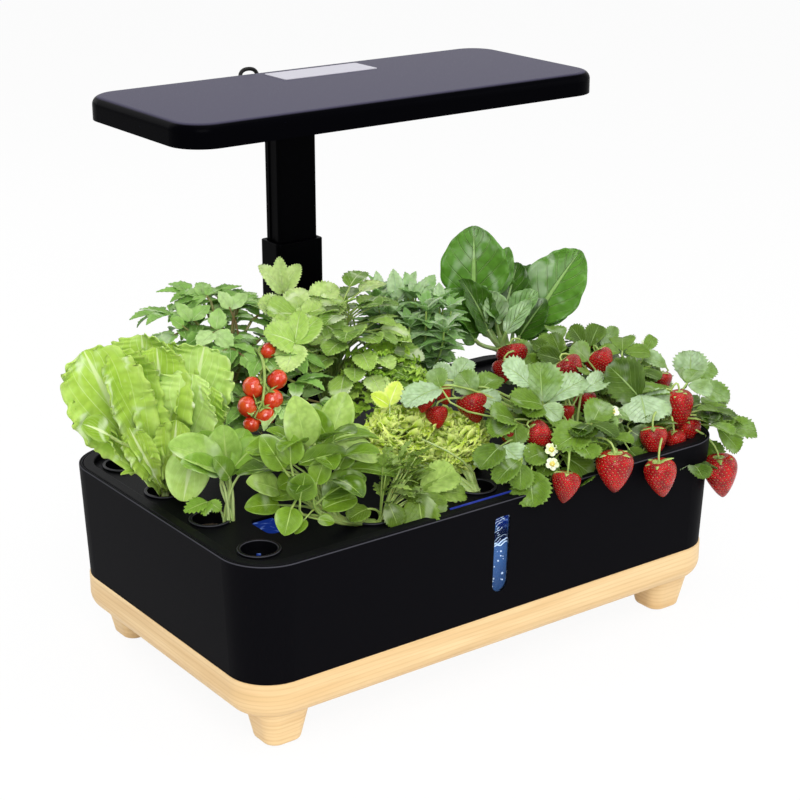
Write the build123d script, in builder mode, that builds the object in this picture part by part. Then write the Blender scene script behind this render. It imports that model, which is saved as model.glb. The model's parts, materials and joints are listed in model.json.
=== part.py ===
"""Countertop hydroponic garden: a planted tank on a wooden base under a height-adjustable grow lamp.

Millimetres, +Z up, +X to the right, -Y towards the water window. The origin lies on the surface that
the foot pads rest on, below the middle of the tank.
"""

import os
from math import atan, cos, radians, sin, tan

from build123d import *

os.makedirs("parts", exist_ok=True)

# ---------------------------------------------------------------- driving dimensions
# Water tank: an open tapered box whose lower plinth drops into the wooden base.
TANK_LENGTH = 460.0
TANK_DEPTH = 280.0
TANK_HEIGHT = 93.4
TANK_CORNER = 38.0
TANK_TAPER = 4.2
TANK_WALL = 2.8
TANK_FLOOR = 3.0
TANK_LIP_ROUND = 1.0
PLINTH_INSET = 14.0
PLINTH_HEIGHT = 18.6
LEDGE_WIDTH = 3.6
LEDGE_THICKNESS = 3.0
BOSS_RADIUS = 5.0
BOSS_HEIGHT = 12.0

# Wooden base: a thick tray with a rounded underside on four tapered feet.
BASE_HEIGHT = 31.0
BASE_PROUD = 0.9
BASE_ROUND = 15.0
BASE_LIP_ROUND = 1.2
BASE_FLOOR = 12.0
FOOT_HEIGHT = 27.0
FOOT_TOP = 41.0
FOOT_BOTTOM = 30.0
FOOT_CORNER = 13.0
FOOT_ROUND = 3.0
FOOT_SPACING_X = 379.0
FOOT_SPACING_Y = 212.0
FOOT_COLLAR = 5.0
PAD_RADIUS = 9.0
PAD_THICKNESS = 2.2
PAD_RECESS = 1.2

# Screws: one size holds the feet, the tank and the mast bracket.
SCREW_RADIUS = 1.7
SCREW_LENGTH = 19.0
SCREW_HEAD_RADIUS = 3.6
SCREW_HEAD_HEIGHT = 2.4
SCREW_HEAD_ROUND = 0.9
SCREW_HOLE_SPARE = 1.5
TANK_SCREW_SPACING_X = 300.0
TANK_SCREW_SPACING_Y = 150.0

# Growing deck: a tray-like lid with a ring of pod holes, a refill port and a gauge slot.
DECK_RIM_WIDTH = 8.5
DECK_DROP = 4.6
DECK_THICKNESS = 2.4
DECK_ROUND = 1.2
DECK_RIB_WIDTH = 2.0
DECK_RIB_HEIGHT = 5.0
POD_COLUMNS = 5
POD_ROWS = 4
POD_END_ROOM = 34.0
POD_FRONT_ROOM = 42.0
POD_REAR_ROOM = 37.0
PORT_LENGTH = 26.0
PORT_DEPTH = 30.0
PORT_ROUND = 6.0
PORT_FROM_COLUMN = 34.0
SLOT_LENGTH = 84.0
SLOT_WIDTH = 6.0
SLOT_FROM_ROW = 22.0

# Planting baskets and their sponges.
BASKET_MOUTH = 13.4
BASKET_WALL = 1.2
BASKET_FLANGE = 15.8
BASKET_FLANGE_THICKNESS = 2.0
BASKET_FLANGE_ROUND = 0.7
BASKET_COLLAR = 6.0
BASKET_DEPTH = 45.0
BASKET_BOTTOM = 9.5
BASKET_DRAIN = 4.0
BASKET_SLOTS = 6
BASKET_SLOT_WIDTH = 3.2
BASKET_SLOT_HEIGHT = 24.0
SPONGE_LENGTH = 36.0
SPONGE_BORE = 3.0
SPONGE_BORE_DEPTH = 22.0

# Water window in the front wall.
WINDOW_X = -7.0
WINDOW_WIDTH = 14.4
WINDOW_HEIGHT = 63.0
WINDOW_DROP = 12.0
WINDOW_TOP_ROUND = 2.4
LENS_SINK = 0.5
LENS_FLANGE = 4.0
LENS_FLANGE_THICKNESS = 1.6

# Mast: a bracket on the tank's rear wall, a fixed sleeve and a sliding inner post.
POST_WIDTH = 38.0
POST_DEPTH = 21.0
POST_CORNER = 2.6
POST_WALL = 2.2
POST_GROOVE_WIDTH = 8.0
POST_GROOVE_DEPTH = 1.0
POST_LENGTH = 240.0
SLEEVE_WALL = 3.4
SLEEVE_CORNER = 4.0
SLEEVE_LIP_ROUND = 0.8
SLEEVE_LENGTH = 205.0
SLEEVE_TOP_ABOVE_RIM = 139.0
BRACKET_WALL = 4.0
BRACKET_HEIGHT = 58.0
BRACKET_FLOOR = 20.0
BRACKET_EAR = 15.0
BRACKET_EAR_THICKNESS = 6.0
BRACKET_ROUND = 3.0
BRACKET_SCREW_SPACING = 30.0
BRACKET_BOSS_LENGTH = 14.0
INLET_HEIGHT = 10.0
INLET_RADIUS = 5.5
INLET_FLANGE_RADIUS = 7.0
INLET_FLANGE_THICKNESS = 1.2
INLET_DEPTH = 9.0
INLET_BORE = 2.9
INLET_PIN = 1.0
INLET_BACK = 1.5

# Lamp head.
LAMP_LENGTH = 386.0
LAMP_DEPTH = 162.0
LAMP_THICKNESS = 17.5
LAMP_CORNER = 27.0
LAMP_ROUND = 6.5
LAMP_WALL = 2.6
LAMP_LEDGE = 2.4
LAMP_REAR_Y = 148.0
LAMP_BOTTOM_ABOVE_RIM = 265.6
LAMP_REAR_PLATE = 34.0
LAMP_SEAT = 3.0
DIFFUSER_THICKNESS = 2.4
BOARD_THICKNESS = 1.6
BOARD_GAP = 3.0
BOARD_EDGE_GAP = 1.0
BOARD_BOSS_RADIUS = 4.0
BOARD_BOSS_COLUMNS = 3
BOARD_BOSS_ROWS = 2
BOARD_BOSS_SPACING_X = 160.0
BOARD_BOSS_SPACING_Y = 90.0
LED_COLUMNS = 12
LED_ROWS = 4
LED_PITCH_X = 29.0
LED_PITCH_Y = 28.0
LED_SIZE = 5.0
LED_HEIGHT = 0.9
PLATE_LENGTH = 89.0
PLATE_DEPTH = 32.0
PLATE_CORNER = 2.0
PLATE_THICKNESS = 1.4
PLATE_PROUD = 0.4
PLATE_X = 8.5
PLATE_FROM_REAR = 29.0
COLLAR_HEIGHT = 36.0
COLLAR_WALL = 5.5
COLLAR_CORNER = 6.0
COLLAR_PLATE_THICKNESS = 4.0
COLLAR_PLATE_REACH = 30.0
COLLAR_ROUND = 2.0

# Short lead from the lamp head into the collar.
LEAD_RADIUS = 1.6
LEAD_BOOT_RADIUS = 2.8
LEAD_BOOT_LENGTH = 4.0
LEAD_X = -27.0
LEAD_LOOP_WIDTH = 18.0
LEAD_LOOP_RISE = 1.0
LEAD_STAND_OFF = 9.0
LEAD_EXIT_DROP = 9.0
LEAD_SIDE_DROP = 40.0
LEAD_SWAY = 2.0
LEAD_FOOT = 8.0
LEAD_FOOT_RISE = 12.0
LEAD_BEND_SHARE = 0.45

# Circulation pump on the tank floor.
PUMP_X = 62.0
PUMP_Y = 4.0
PUMP_LENGTH = 44.0
PUMP_WIDTH = 36.0
PUMP_HEIGHT = 34.0
PUMP_ROUND = 4.0
PUMP_COVER_THICKNESS = 3.0
PUMP_CHAMBER_RADIUS = 12.5
PUMP_CHAMBER_DEPTH = 9.0
PUMP_OUTLET_RADIUS = 5.0
PUMP_OUTLET_BORE = 3.2
PUMP_OUTLET_HEIGHT = 12.0
PUMP_INTAKE_SLOTS = 5
PUMP_INTAKE_PITCH = 3.8
PUMP_INTAKE_WIDTH = 1.8
PUMP_INTAKE_LENGTH = 8.0
ROTOR_MAGNET_RADIUS = 6.0
ROTOR_MAGNET_LENGTH = 20.0
ROTOR_BLADE_RADIUS = 10.5
ROTOR_BLADE_HEIGHT = 5.0
ROTOR_BLADE_THICKNESS = 1.4
ROTOR_BLADES = 6
ROTOR_DISC = 1.6
SHAFT_RADIUS = 1.2
SHAFT_SEAT_DEPTH = 3.0
SHAFT_COVER_DEPTH = 1.5

# Plants: a profile gives each level's share of the height and its share of the spread. A plant's lean and
# spread are shares of the pods' pitch, and its heights above the rim are shares of PLANT_HEIGHT.
PLANT_HEIGHT = 100.0
ROOT_DEPTH = 20.0
STEM_RADIUS = 6.5
STEM_RISE = 6.0
DOME = [(0.0, 0.55), (0.25, 0.9), (0.5, 1.0), (0.75, 0.88), (0.93, 0.62), (1.0, 0.35)]
FAN = [(0.0, 0.28), (0.3, 0.62), (0.6, 0.88), (0.82, 1.0), (0.95, 0.8), (1.0, 0.5)]
BLADE = [(0.0, 0.35), (0.3, 0.82), (0.55, 1.0), (0.8, 0.72), (0.95, 0.38), (1.0, 0.18)]
BERRY_RADIUS = 12.5
BERRY_LENGTH = 30.0
BERRY_PROFILE = [(0.0, 0.35), (0.4, 0.85), (0.7, 1.0), (0.95, 0.75)]
BERRY_STALK_RADIUS = 2.0
BERRY_WALL_ROOM = 1.5
BERRY_CORNER_ROOM = 5.7
BERRY_CORNER_TURN = -38.5
BERRY_SIDE = 38.0
BERRY_CORNER_SIDE = 12.0
BERRY_DROP = 21.0
BERRY_LOW_DROP = 33.0

# Clearances.
DECK_GAP = 0.6
POCKET_GAP = 0.4
POD_GAP = 0.35
SLIDE_GAP = 0.35
SOFT_GAP = 0.3
SCREW_GAP = 0.06
LENS_GAP = 0.2
ROTOR_GAP = 0.5
SHAFT_GAP = 0.05
SEAT_GAP = 0.1

# ---------------------------------------------------------------- levels and places
base_z = FOOT_HEIGHT + PAD_THICKNESS - PAD_RECESS
foot_z = base_z - FOOT_HEIGHT
tank_z = base_z + BASE_HEIGHT
rim_z = tank_z + TANK_HEIGHT
tray_z = base_z + BASE_FLOOR
plinth_z = tank_z - PLINTH_HEIGHT
floor_z = plinth_z + TANK_FLOOR
deck_z = rim_z - DECK_DROP
ledge_z = rim_z - DECK_THICKNESS - SEAT_GAP

sleeve_inner_width = POST_WIDTH + 2 * SLIDE_GAP
sleeve_inner_depth = POST_DEPTH + 2 * SLIDE_GAP
sleeve_width = sleeve_inner_width + 2 * SLEEVE_WALL
sleeve_depth = sleeve_inner_depth + 2 * SLEEVE_WALL
mast_y = TANK_DEPTH / 2 + SEAT_GAP + sleeve_depth / 2
sleeve_top = rim_z + SLEEVE_TOP_ABOVE_RIM
sleeve_bottom = sleeve_top - SLEEVE_LENGTH
bracket_z = sleeve_bottom - BRACKET_FLOOR
bracket_width = sleeve_width + 2 * BRACKET_WALL
bracket_rear = mast_y + sleeve_depth / 2 + BRACKET_WALL
ear_face = TANK_DEPTH / 2 + BRACKET_EAR_THICKNESS

lamp_z = rim_z + LAMP_BOTTOM_ABOVE_RIM
lamp_top = lamp_z + LAMP_THICKNESS
lamp_y = LAMP_REAR_Y - LAMP_DEPTH / 2
board_z = lamp_z + LAMP_SEAT + BOARD_GAP
collar_z = lamp_z - COLLAR_HEIGHT
post_top = lamp_z - COLLAR_PLATE_THICKNESS - SEAT_GAP
light_depth = LAMP_DEPTH - LAMP_WALL - LAMP_REAR_PLATE
light_y = LAMP_REAR_Y - LAMP_DEPTH + LAMP_WALL + light_depth / 2

sponge_bottom = deck_z + SEAT_GAP - BASKET_DEPTH + BASKET_WALL + SEAT_GAP
sponge_top = sponge_bottom + SPONGE_LENGTH

left_x = POD_END_ROOM - TANK_LENGTH / 2
rear_y = TANK_DEPTH / 2 - POD_REAR_ROOM
pitch_x = (TANK_LENGTH - 2 * POD_END_ROOM) / (POD_COLUMNS - 1)
pitch_y = (TANK_DEPTH - POD_FRONT_ROOM - POD_REAR_ROOM) / (POD_ROWS - 1)
column_x = [left_x + i * pitch_x for i in range(POD_COLUMNS)]
row_y = [rear_y - j * pitch_y for j in range(POD_ROWS)]
left_column = [(column_x[0], y) for y in row_y]
front_row = [(x, row_y[-1]) for x in column_x[1:-1]]
right_column = [(column_x[-1], y) for y in reversed(row_y)]
rear_row = [(x, row_y[0]) for x in reversed(column_x[1:-1])]
pods = left_column + front_row + right_column + rear_row

corners = [(-1, -1), (-1, 1), (1, -1), (1, 1)]
foot_places = [(sx * FOOT_SPACING_X / 2, sy * FOOT_SPACING_Y / 2) for sx, sy in corners]
tank_screw_places = [(sx * TANK_SCREW_SPACING_X / 2, sy * TANK_SCREW_SPACING_Y / 2) for sx, sy in corners]
ear_screw_x = bracket_width / 2 + BRACKET_EAR / 2
ear_screw_z = bracket_z + BRACKET_HEIGHT / 2
ear_screw_places = [(sx * ear_screw_x, ear_screw_z + sz * BRACKET_SCREW_SPACING / 2) for sx, sz in corners]


def save(part, label):
    """Label a finished piece and write it as its own STEP file."""
    part.label = label
    export_step(part, f"parts/{label}.step")


def rounded_outline(length, depth, corner, level, y=0.0):
    """A rounded rectangle centred on the Y axis at a level."""
    with BuildSketch(Plane((0, y, level))) as outline:
        RectangleRounded(length, depth, corner)
    return outline.sketch.face()


def tank_outline(level, inset):
    """The tapered tank's outline at a level, moved in by inset."""
    shift = TANK_TAPER * (rim_z - level) / TANK_HEIGHT + inset
    return rounded_outline(TANK_LENGTH - 2 * shift, TANK_DEPTH - 2 * shift, TANK_CORNER - shift, level)


def straight_outline(level, inset):
    """The rim's outline moved in by inset, for the upright faces of the plinth and the deck."""
    return rounded_outline(TANK_LENGTH - 2 * inset, TANK_DEPTH - 2 * inset, TANK_CORNER - inset, level)


# ---------------------------------------------------------------- screws
with BuildPart() as screw:
    with BuildSketch():
        Circle(SCREW_RADIUS)
    extrude(amount=-SCREW_LENGTH)
    with BuildSketch():
        Circle(SCREW_HEAD_RADIUS)
    extrude(amount=SCREW_HEAD_HEIGHT)
    fillet(screw.faces().sort_by(Axis.Z)[-1].edges(), SCREW_HEAD_ROUND)

screw_hole = SCREW_RADIUS + SCREW_GAP
head_hole = SCREW_HEAD_RADIUS + POCKET_GAP
head_recess = SCREW_HEAD_HEIGHT + POCKET_GAP
screw_reach = SCREW_LENGTH - BASE_FLOOR + head_recess

foot_screws = [screw.part.moved(Location((x, y, tray_z - head_recess))) for x, y in foot_places]
tank_screws = [
    screw.part.moved(Location((x, y, base_z + head_recess), (180, 0, 0))) for x, y in tank_screw_places
]
save(Compound(children=foot_screws + tank_screws), "base_screws")

ear_screws = [screw.part.moved(Location((x, ear_face, z), (-90, 0, 0))) for x, z in ear_screw_places]
save(Compound(children=ear_screws), "bracket_screws")

# ---------------------------------------------------------------- wooden base
base_inset = TANK_TAPER - BASE_PROUD
pocket_inset = TANK_TAPER + PLINTH_INSET - POCKET_GAP

with BuildPart() as base_block:
    extrude(straight_outline(base_z, base_inset), amount=BASE_HEIGHT)
    fillet(base_block.faces().sort_by(Axis.Z)[0].edges(), BASE_ROUND)
    fillet(base_block.faces().sort_by(Axis.Z)[-1].edges(), BASE_LIP_ROUND)

with BuildPart() as wood_base:
    add(base_block.part)
    extrude(straight_outline(tray_z, pocket_inset), amount=BASE_HEIGHT, mode=Mode.SUBTRACT)
    with BuildSketch(Plane.XY.offset(base_z)):
        with Locations(*foot_places, *tank_screw_places):
            Circle(screw_hole)
    extrude(amount=BASE_FLOOR, mode=Mode.SUBTRACT)
    with BuildSketch(Plane.XY.offset(tray_z)):
        with Locations(*foot_places):
            Circle(head_hole)
    extrude(amount=-head_recess, mode=Mode.SUBTRACT)
    with BuildSketch(Plane.XY.offset(base_z)):
        with Locations(*tank_screw_places):
            Circle(head_hole)
    extrude(amount=head_recess, mode=Mode.SUBTRACT)
save(wood_base.part, "wood_base")


def make_foot(x, y):
    """One tapered foot that hugs the base's rounded underside, with a screw hole and a pad recess."""
    widening = (FOOT_TOP - FOOT_BOTTOM) / FOOT_HEIGHT
    collar_width = FOOT_TOP + widening * FOOT_COLLAR
    low = Plane((x, y, foot_z))
    with BuildPart() as foot:
        with BuildSketch(low):
            RectangleRounded(FOOT_BOTTOM, FOOT_BOTTOM, FOOT_CORNER - FOOT_ROUND)
        with BuildSketch(low.offset(FOOT_HEIGHT + FOOT_COLLAR)):
            RectangleRounded(collar_width, collar_width, FOOT_CORNER)
        loft(ruled=True)
        fillet(foot.faces().sort_by(Axis.Z)[0].edges(), FOOT_ROUND)
        add(base_block.part, mode=Mode.SUBTRACT)
        with BuildSketch(low):
            Circle(PAD_RADIUS + SEAT_GAP)
        extrude(amount=PAD_RECESS, mode=Mode.SUBTRACT)
        with BuildSketch(low.offset(FOOT_HEIGHT)):
            Circle(screw_hole)
        extrude(amount=-screw_reach - SCREW_HOLE_SPARE, mode=Mode.SUBTRACT)
    return foot.part


save(Compound(children=[make_foot(x, y) for x, y in foot_places]), "wooden_feet")

with BuildPart() as foot_pads:
    with BuildSketch():
        with Locations(*foot_places):
            Circle(PAD_RADIUS)
    extrude(amount=PAD_THICKNESS)
save(foot_pads.part, "foot_pads")

# ---------------------------------------------------------------- water tank
window_z = rim_z - WINDOW_DROP - WINDOW_HEIGHT / 2
wall_lean = atan(TANK_TAPER / TANK_HEIGHT)
window_y = -TANK_DEPTH / 2 + TANK_TAPER * (rim_z - window_z) / TANK_HEIGHT
front_normal = (0, -cos(wall_lean), -sin(wall_lean))
front_wall = Plane((WINDOW_X, window_y, window_z), x_dir=(1, 0, 0), z_dir=front_normal)


def window_outline(depth, grow):
    """The window's outline at a depth behind the front wall, with a round lower end, grown all round."""
    half = WINDOW_WIDTH / 2 + grow
    straight = WINDOW_HEIGHT - WINDOW_WIDTH / 2 + grow
    with BuildSketch(front_wall.offset(-depth)) as outline:
        with Locations((0, WINDOW_HEIGHT / 2 + grow)):
            Rectangle(2 * half, straight, align=(Align.CENTER, Align.MAX))
        fillet(outline.vertices().group_by(Axis.Y)[-1], WINDOW_TOP_ROUND + grow)
        with Locations((0, WINDOW_WIDTH / 2 - WINDOW_HEIGHT / 2)):
            Circle(half)
    return outline.sketch.face()


with BuildPart() as tank_block:
    loft([tank_outline(tank_z, 0), tank_outline(rim_z, 0)], ruled=True)

shoulder_z = tank_z + TANK_FLOOR
ledge_low = ledge_z - LEDGE_THICKNESS
ledge_inset = TANK_WALL + LEDGE_WIDTH
boss_start = TANK_DEPTH / 2 - TANK_TAPER
plinth_inset = TANK_TAPER + PLINTH_INSET
sump_inset = plinth_inset + TANK_WALL

with BuildPart() as water_tank:
    add(tank_block.part)
    extrude(straight_outline(plinth_z, plinth_inset), amount=PLINTH_HEIGHT)
    loft([tank_outline(shoulder_z, TANK_WALL), tank_outline(ledge_low, TANK_WALL)], True, mode=Mode.SUBTRACT)
    loft([tank_outline(ledge_low, ledge_inset), tank_outline(ledge_z, ledge_inset)], True, mode=Mode.SUBTRACT)
    loft([tank_outline(ledge_z, TANK_WALL), tank_outline(rim_z, TANK_WALL)], True, mode=Mode.SUBTRACT)
    extrude(straight_outline(floor_z, sump_inset), amount=shoulder_z - floor_z, mode=Mode.SUBTRACT)
    fillet(water_tank.faces().sort_by(Axis.Z)[-1].edges(), TANK_LIP_ROUND)
    with BuildSketch(Plane.XY.offset(floor_z)):
        with Locations(*tank_screw_places):
            Circle(BOSS_RADIUS)
    extrude(amount=BOSS_HEIGHT)
    with BuildSketch(Plane.XY.offset(plinth_z)):
        with Locations(*tank_screw_places):
            Circle(screw_hole)
    extrude(amount=screw_reach + SCREW_HOLE_SPARE, mode=Mode.SUBTRACT)
    with BuildSketch(Plane.XZ.offset(-boss_start)):
        with Locations(*ear_screw_places):
            Circle(BOSS_RADIUS)
    extrude(amount=BRACKET_BOSS_LENGTH)
    with BuildSketch(Plane.XZ.offset(-ear_face)):
        with Locations(*ear_screw_places):
            Circle(screw_hole)
    extrude(amount=SCREW_LENGTH + SCREW_HOLE_SPARE, mode=Mode.SUBTRACT)
    extrude(window_outline(0, 0), amount=TANK_WALL, both=True, mode=Mode.SUBTRACT)
save(water_tank.part, "water_tank")

with BuildPart() as window_lens:
    extrude(window_outline(LENS_SINK, -LENS_GAP), amount=LENS_SINK - TANK_WALL - SEAT_GAP)
    extrude(window_outline(TANK_WALL + SEAT_GAP, LENS_FLANGE), amount=-LENS_FLANGE_THICKNESS)
save(window_lens.part, "window_lens")

# ---------------------------------------------------------------- growing deck
deck_inset = TANK_WALL + DECK_GAP
deck_under = deck_z - DECK_THICKNESS
recess_inset = deck_inset + DECK_RIM_WIDTH
port_place = (column_x[0] + PORT_FROM_COLUMN, (row_y[-1] + row_y[-2]) / 2)
slot_place = (column_x[POD_COLUMNS // 2], row_y[-1] - SLOT_FROM_ROW)
rib_places = [((a + b) / 2, 0) for a, b in zip(column_x, column_x[1:])]
basket_outer = BASKET_MOUTH + BASKET_WALL

with BuildPart() as grow_deck:
    extrude(straight_outline(rim_z - DECK_THICKNESS, deck_inset), amount=DECK_THICKNESS)
    extrude(straight_outline(deck_under, recess_inset - DECK_THICKNESS), amount=DECK_DROP)
    extrude(straight_outline(deck_z, recess_inset), amount=DECK_DROP, mode=Mode.SUBTRACT)
    fillet(grow_deck.faces().sort_by(Axis.Z)[-1].edges(), DECK_ROUND)
    with BuildSketch(Plane.XY.offset(deck_under)):
        with Locations(*rib_places):
            Rectangle(DECK_RIB_WIDTH, TANK_DEPTH - 2 * recess_inset)
    extrude(amount=-DECK_RIB_HEIGHT)
    with BuildSketch(Plane.XY.offset(deck_z)):
        with Locations(*pods):
            Circle(basket_outer + POD_GAP)
        with Locations(port_place):
            RectangleRounded(PORT_LENGTH, PORT_DEPTH, PORT_ROUND)
        with Locations(slot_place):
            SlotOverall(SLOT_LENGTH, SLOT_WIDTH)
    extrude(amount=-DECK_THICKNESS, mode=Mode.SUBTRACT)
save(grow_deck.part, "grow_deck")

# ---------------------------------------------------------------- planting pods
with BuildPart() as basket:
    with BuildSketch(Plane.XZ) as basket_profile:
        with BuildLine():
            Polyline(
                (BASKET_MOUTH, BASKET_FLANGE_THICKNESS),
                (BASKET_FLANGE, BASKET_FLANGE_THICKNESS),
                (BASKET_FLANGE, 0),
                (basket_outer, 0),
                (basket_outer, -BASKET_COLLAR),
                (BASKET_BOTTOM + BASKET_WALL, -BASKET_DEPTH),
                (BASKET_DRAIN, -BASKET_DEPTH),
                (BASKET_DRAIN, BASKET_WALL - BASKET_DEPTH),
                (BASKET_BOTTOM, BASKET_WALL - BASKET_DEPTH),
                (BASKET_MOUTH, -BASKET_COLLAR),
                close=True,
            )
        make_face()
        fillet(basket_profile.vertices().group_by(Axis.Y)[-1], BASKET_FLANGE_ROUND)
    revolve(axis=Axis.Z)
    with BuildSketch(Plane.XY.offset(-BASKET_COLLAR - 2 * BASKET_WALL)):
        with PolarLocations(basket_outer / 2, BASKET_SLOTS):
            Rectangle(basket_outer, BASKET_SLOT_WIDTH)
    extrude(amount=-BASKET_SLOT_HEIGHT, mode=Mode.SUBTRACT)

for number, (x, y) in enumerate(pods, start=1):
    save(basket.part.moved(Location((x, y, deck_z + SEAT_GAP))), f"basket_{number:02d}")

sponge_taper = (BASKET_MOUTH - BASKET_BOTTOM) / (BASKET_DEPTH - BASKET_WALL - BASKET_COLLAR)
sponge_low_radius = BASKET_BOTTOM - SOFT_GAP
sponge_top_radius = sponge_low_radius + sponge_taper * SPONGE_LENGTH

with BuildPart() as sponge:
    with BuildSketch(Plane.XZ):
        with BuildLine():
            Polyline(
                (0, 0),
                (sponge_low_radius, 0),
                (sponge_top_radius, SPONGE_LENGTH),
                (SPONGE_BORE, SPONGE_LENGTH),
                (SPONGE_BORE, SPONGE_LENGTH - SPONGE_BORE_DEPTH),
                (0, SPONGE_LENGTH - SPONGE_BORE_DEPTH),
                close=True,
            )
        make_face()
    revolve(axis=Axis.Z)


def leaf_mass(x, y, lean, spread, heights, profile):
    """Stacked ellipses of one rounded mass of leaves that leans and spreads from the pod at x, y."""
    low, high = [rim_z + share * PLANT_HEIGHT for share in heights]
    middle = (x + lean[0] * pitch_x, y + lean[1] * pitch_y)
    outlines = []
    for rise, width in profile:
        with BuildSketch(Plane(middle + (low + rise * (high - low),))) as outline:
            Ellipse(spread[0] * pitch_x * width, spread[1] * pitch_y * width)
        outlines.append(outline.sketch.face())
    return outlines


def grow_plant(label, number, crown, sides=(), berries=()):
    """A plant in pod number with its sponge.

    The crown stands on a stem in the sponge's bore, and further masses of leaves join it at its sides.
    Each is given by its lean, spread, heights and profile. Berries hang on stalks from the leaves at the
    given places, with their tips at the given depth below the rim.
    """
    x, y = pods[number - 1]
    save(sponge.part.moved(Location((x, y, sponge_bottom))), f"sponge_{number:02d}")

    def stem_outline(level, radius):
        with BuildSketch(Plane((x, y, level))) as outline:
            Ellipse(radius, radius)
        return outline.sketch.face()

    root_radius = SPONGE_BORE - SOFT_GAP
    with BuildPart() as plant:
        loft(
            [
                stem_outline(sponge_top - ROOT_DEPTH, root_radius),
                stem_outline(sponge_top, root_radius),
                stem_outline(deck_z + STEM_RISE, STEM_RADIUS),
                *leaf_mass(x, y, *crown),
            ],
            ruled=True,
        )
        for side in sides:
            loft(leaf_mass(x, y, *side), ruled=True)
        for berry_x, berry_y, drop in berries:
            tip = rim_z - drop
            stalk = rim_z + sum(sides[0][2]) / 2 * PLANT_HEIGHT - tip
            with BuildSketch(Plane((berry_x, berry_y, tip), x_dir=(1, 0, 0), z_dir=(0, -1, 0))):
                with BuildLine():
                    Polyline(
                        (0, 0),
                        *[(width * BERRY_RADIUS, share * BERRY_LENGTH) for share, width in BERRY_PROFILE],
                        (BERRY_STALK_RADIUS, BERRY_LENGTH),
                        (BERRY_STALK_RADIUS, stalk),
                        (0, stalk),
                        close=True,
                    )
                make_face()
            revolve(axis=Axis((berry_x, berry_y, 0), (0, 0, 1)))
    save(plant.part, label)


berry_y = -TANK_DEPTH / 2 - BERRY_WALL_ROOM - BERRY_RADIUS
corner_reach = TANK_CORNER + BERRY_CORNER_ROOM + BERRY_RADIUS
corner_turn = radians(BERRY_CORNER_TURN)
corner_berry_x = TANK_LENGTH / 2 - TANK_CORNER + corner_reach * cos(corner_turn)
corner_berry_y = TANK_CORNER - TANK_DEPTH / 2 + corner_reach * sin(corner_turn)
front_berries = [(column_x[3] - BERRY_SIDE, berry_y, BERRY_DROP), (column_x[3], berry_y, BERRY_DROP)]
corner_berries = [
    (column_x[4] - BERRY_CORNER_SIDE, berry_y, BERRY_DROP),
    (corner_berry_x, corner_berry_y, BERRY_LOW_DROP),
]

grow_plant("lettuce", 2, [(-0.12, 0.11), (0.54, 0.5), (0.2, 1.22), FAN])
grow_plant("pak_choi", 3, [(0.03, -0.03), (0.4, 0.45), (0.16, 0.62), FAN])
grow_plant(
    "basil",
    5,
    [(-0.18, 0.06), (0.5, 0.64), (0.14, 0.92), DOME],
    [[(-0.51, -0.06), (0.29, 0.4), (0.24, 0.64), DOME], [(0.31, -0.27), (0.22, 0.34), (0.08, 0.36), DOME]],
)
grow_plant(
    "curly_lettuce",
    6,
    [(-0.2, 0.55), (0.34, 0.5), (0.12, 0.56), DOME],
    [[(0.09, 0.22), (0.32, 0.44), (0.08, 0.36), DOME]],
)
grow_plant(
    "strawberry_front",
    7,
    [(0.0, -0.03), (0.5, 0.76), (0.1, 0.64), DOME],
    [[(-0.14, -0.66), (0.45, 0.42), (0.18, 0.46), DOME]],
    front_berries,
)
grow_plant(
    "strawberry_corner",
    8,
    [(0.14, -0.24), (0.51, 0.72), (0.1, 0.56), DOME],
    [[(0.15, -0.52), (0.49, 0.48), (0.16, 0.42), DOME]],
    corner_berries,
)
grow_plant("strawberry_right", 9, [(0.12, 0.0), (0.55, 0.45), (0.1, 0.56), DOME])
grow_plant("strawberry_rear", 10, [(0.09, 0.0), (0.55, 0.43), (0.1, 0.54), DOME])
grow_plant(
    "chard",
    11,
    [(0.0, 0.0), (0.3, 0.4), (0.14, 0.88), DOME],
    [[(-0.24, 0.0), (0.29, 0.34), (0.3, 1.36), BLADE], [(0.32, -0.1), (0.35, 0.34), (0.24, 1.02), BLADE]],
)
grow_plant("mint", 12, [(-0.14, -0.4), (0.44, 0.84), (0.14, 1.14), DOME])
grow_plant("lemon_balm", 13, [(-0.05, -0.48), (0.43, 0.98), (0.14, 1.2), DOME])
grow_plant("tomato", 14, [(-0.02, -0.28), (0.47, 1.14), (0.14, 1.18), DOME])

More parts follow.
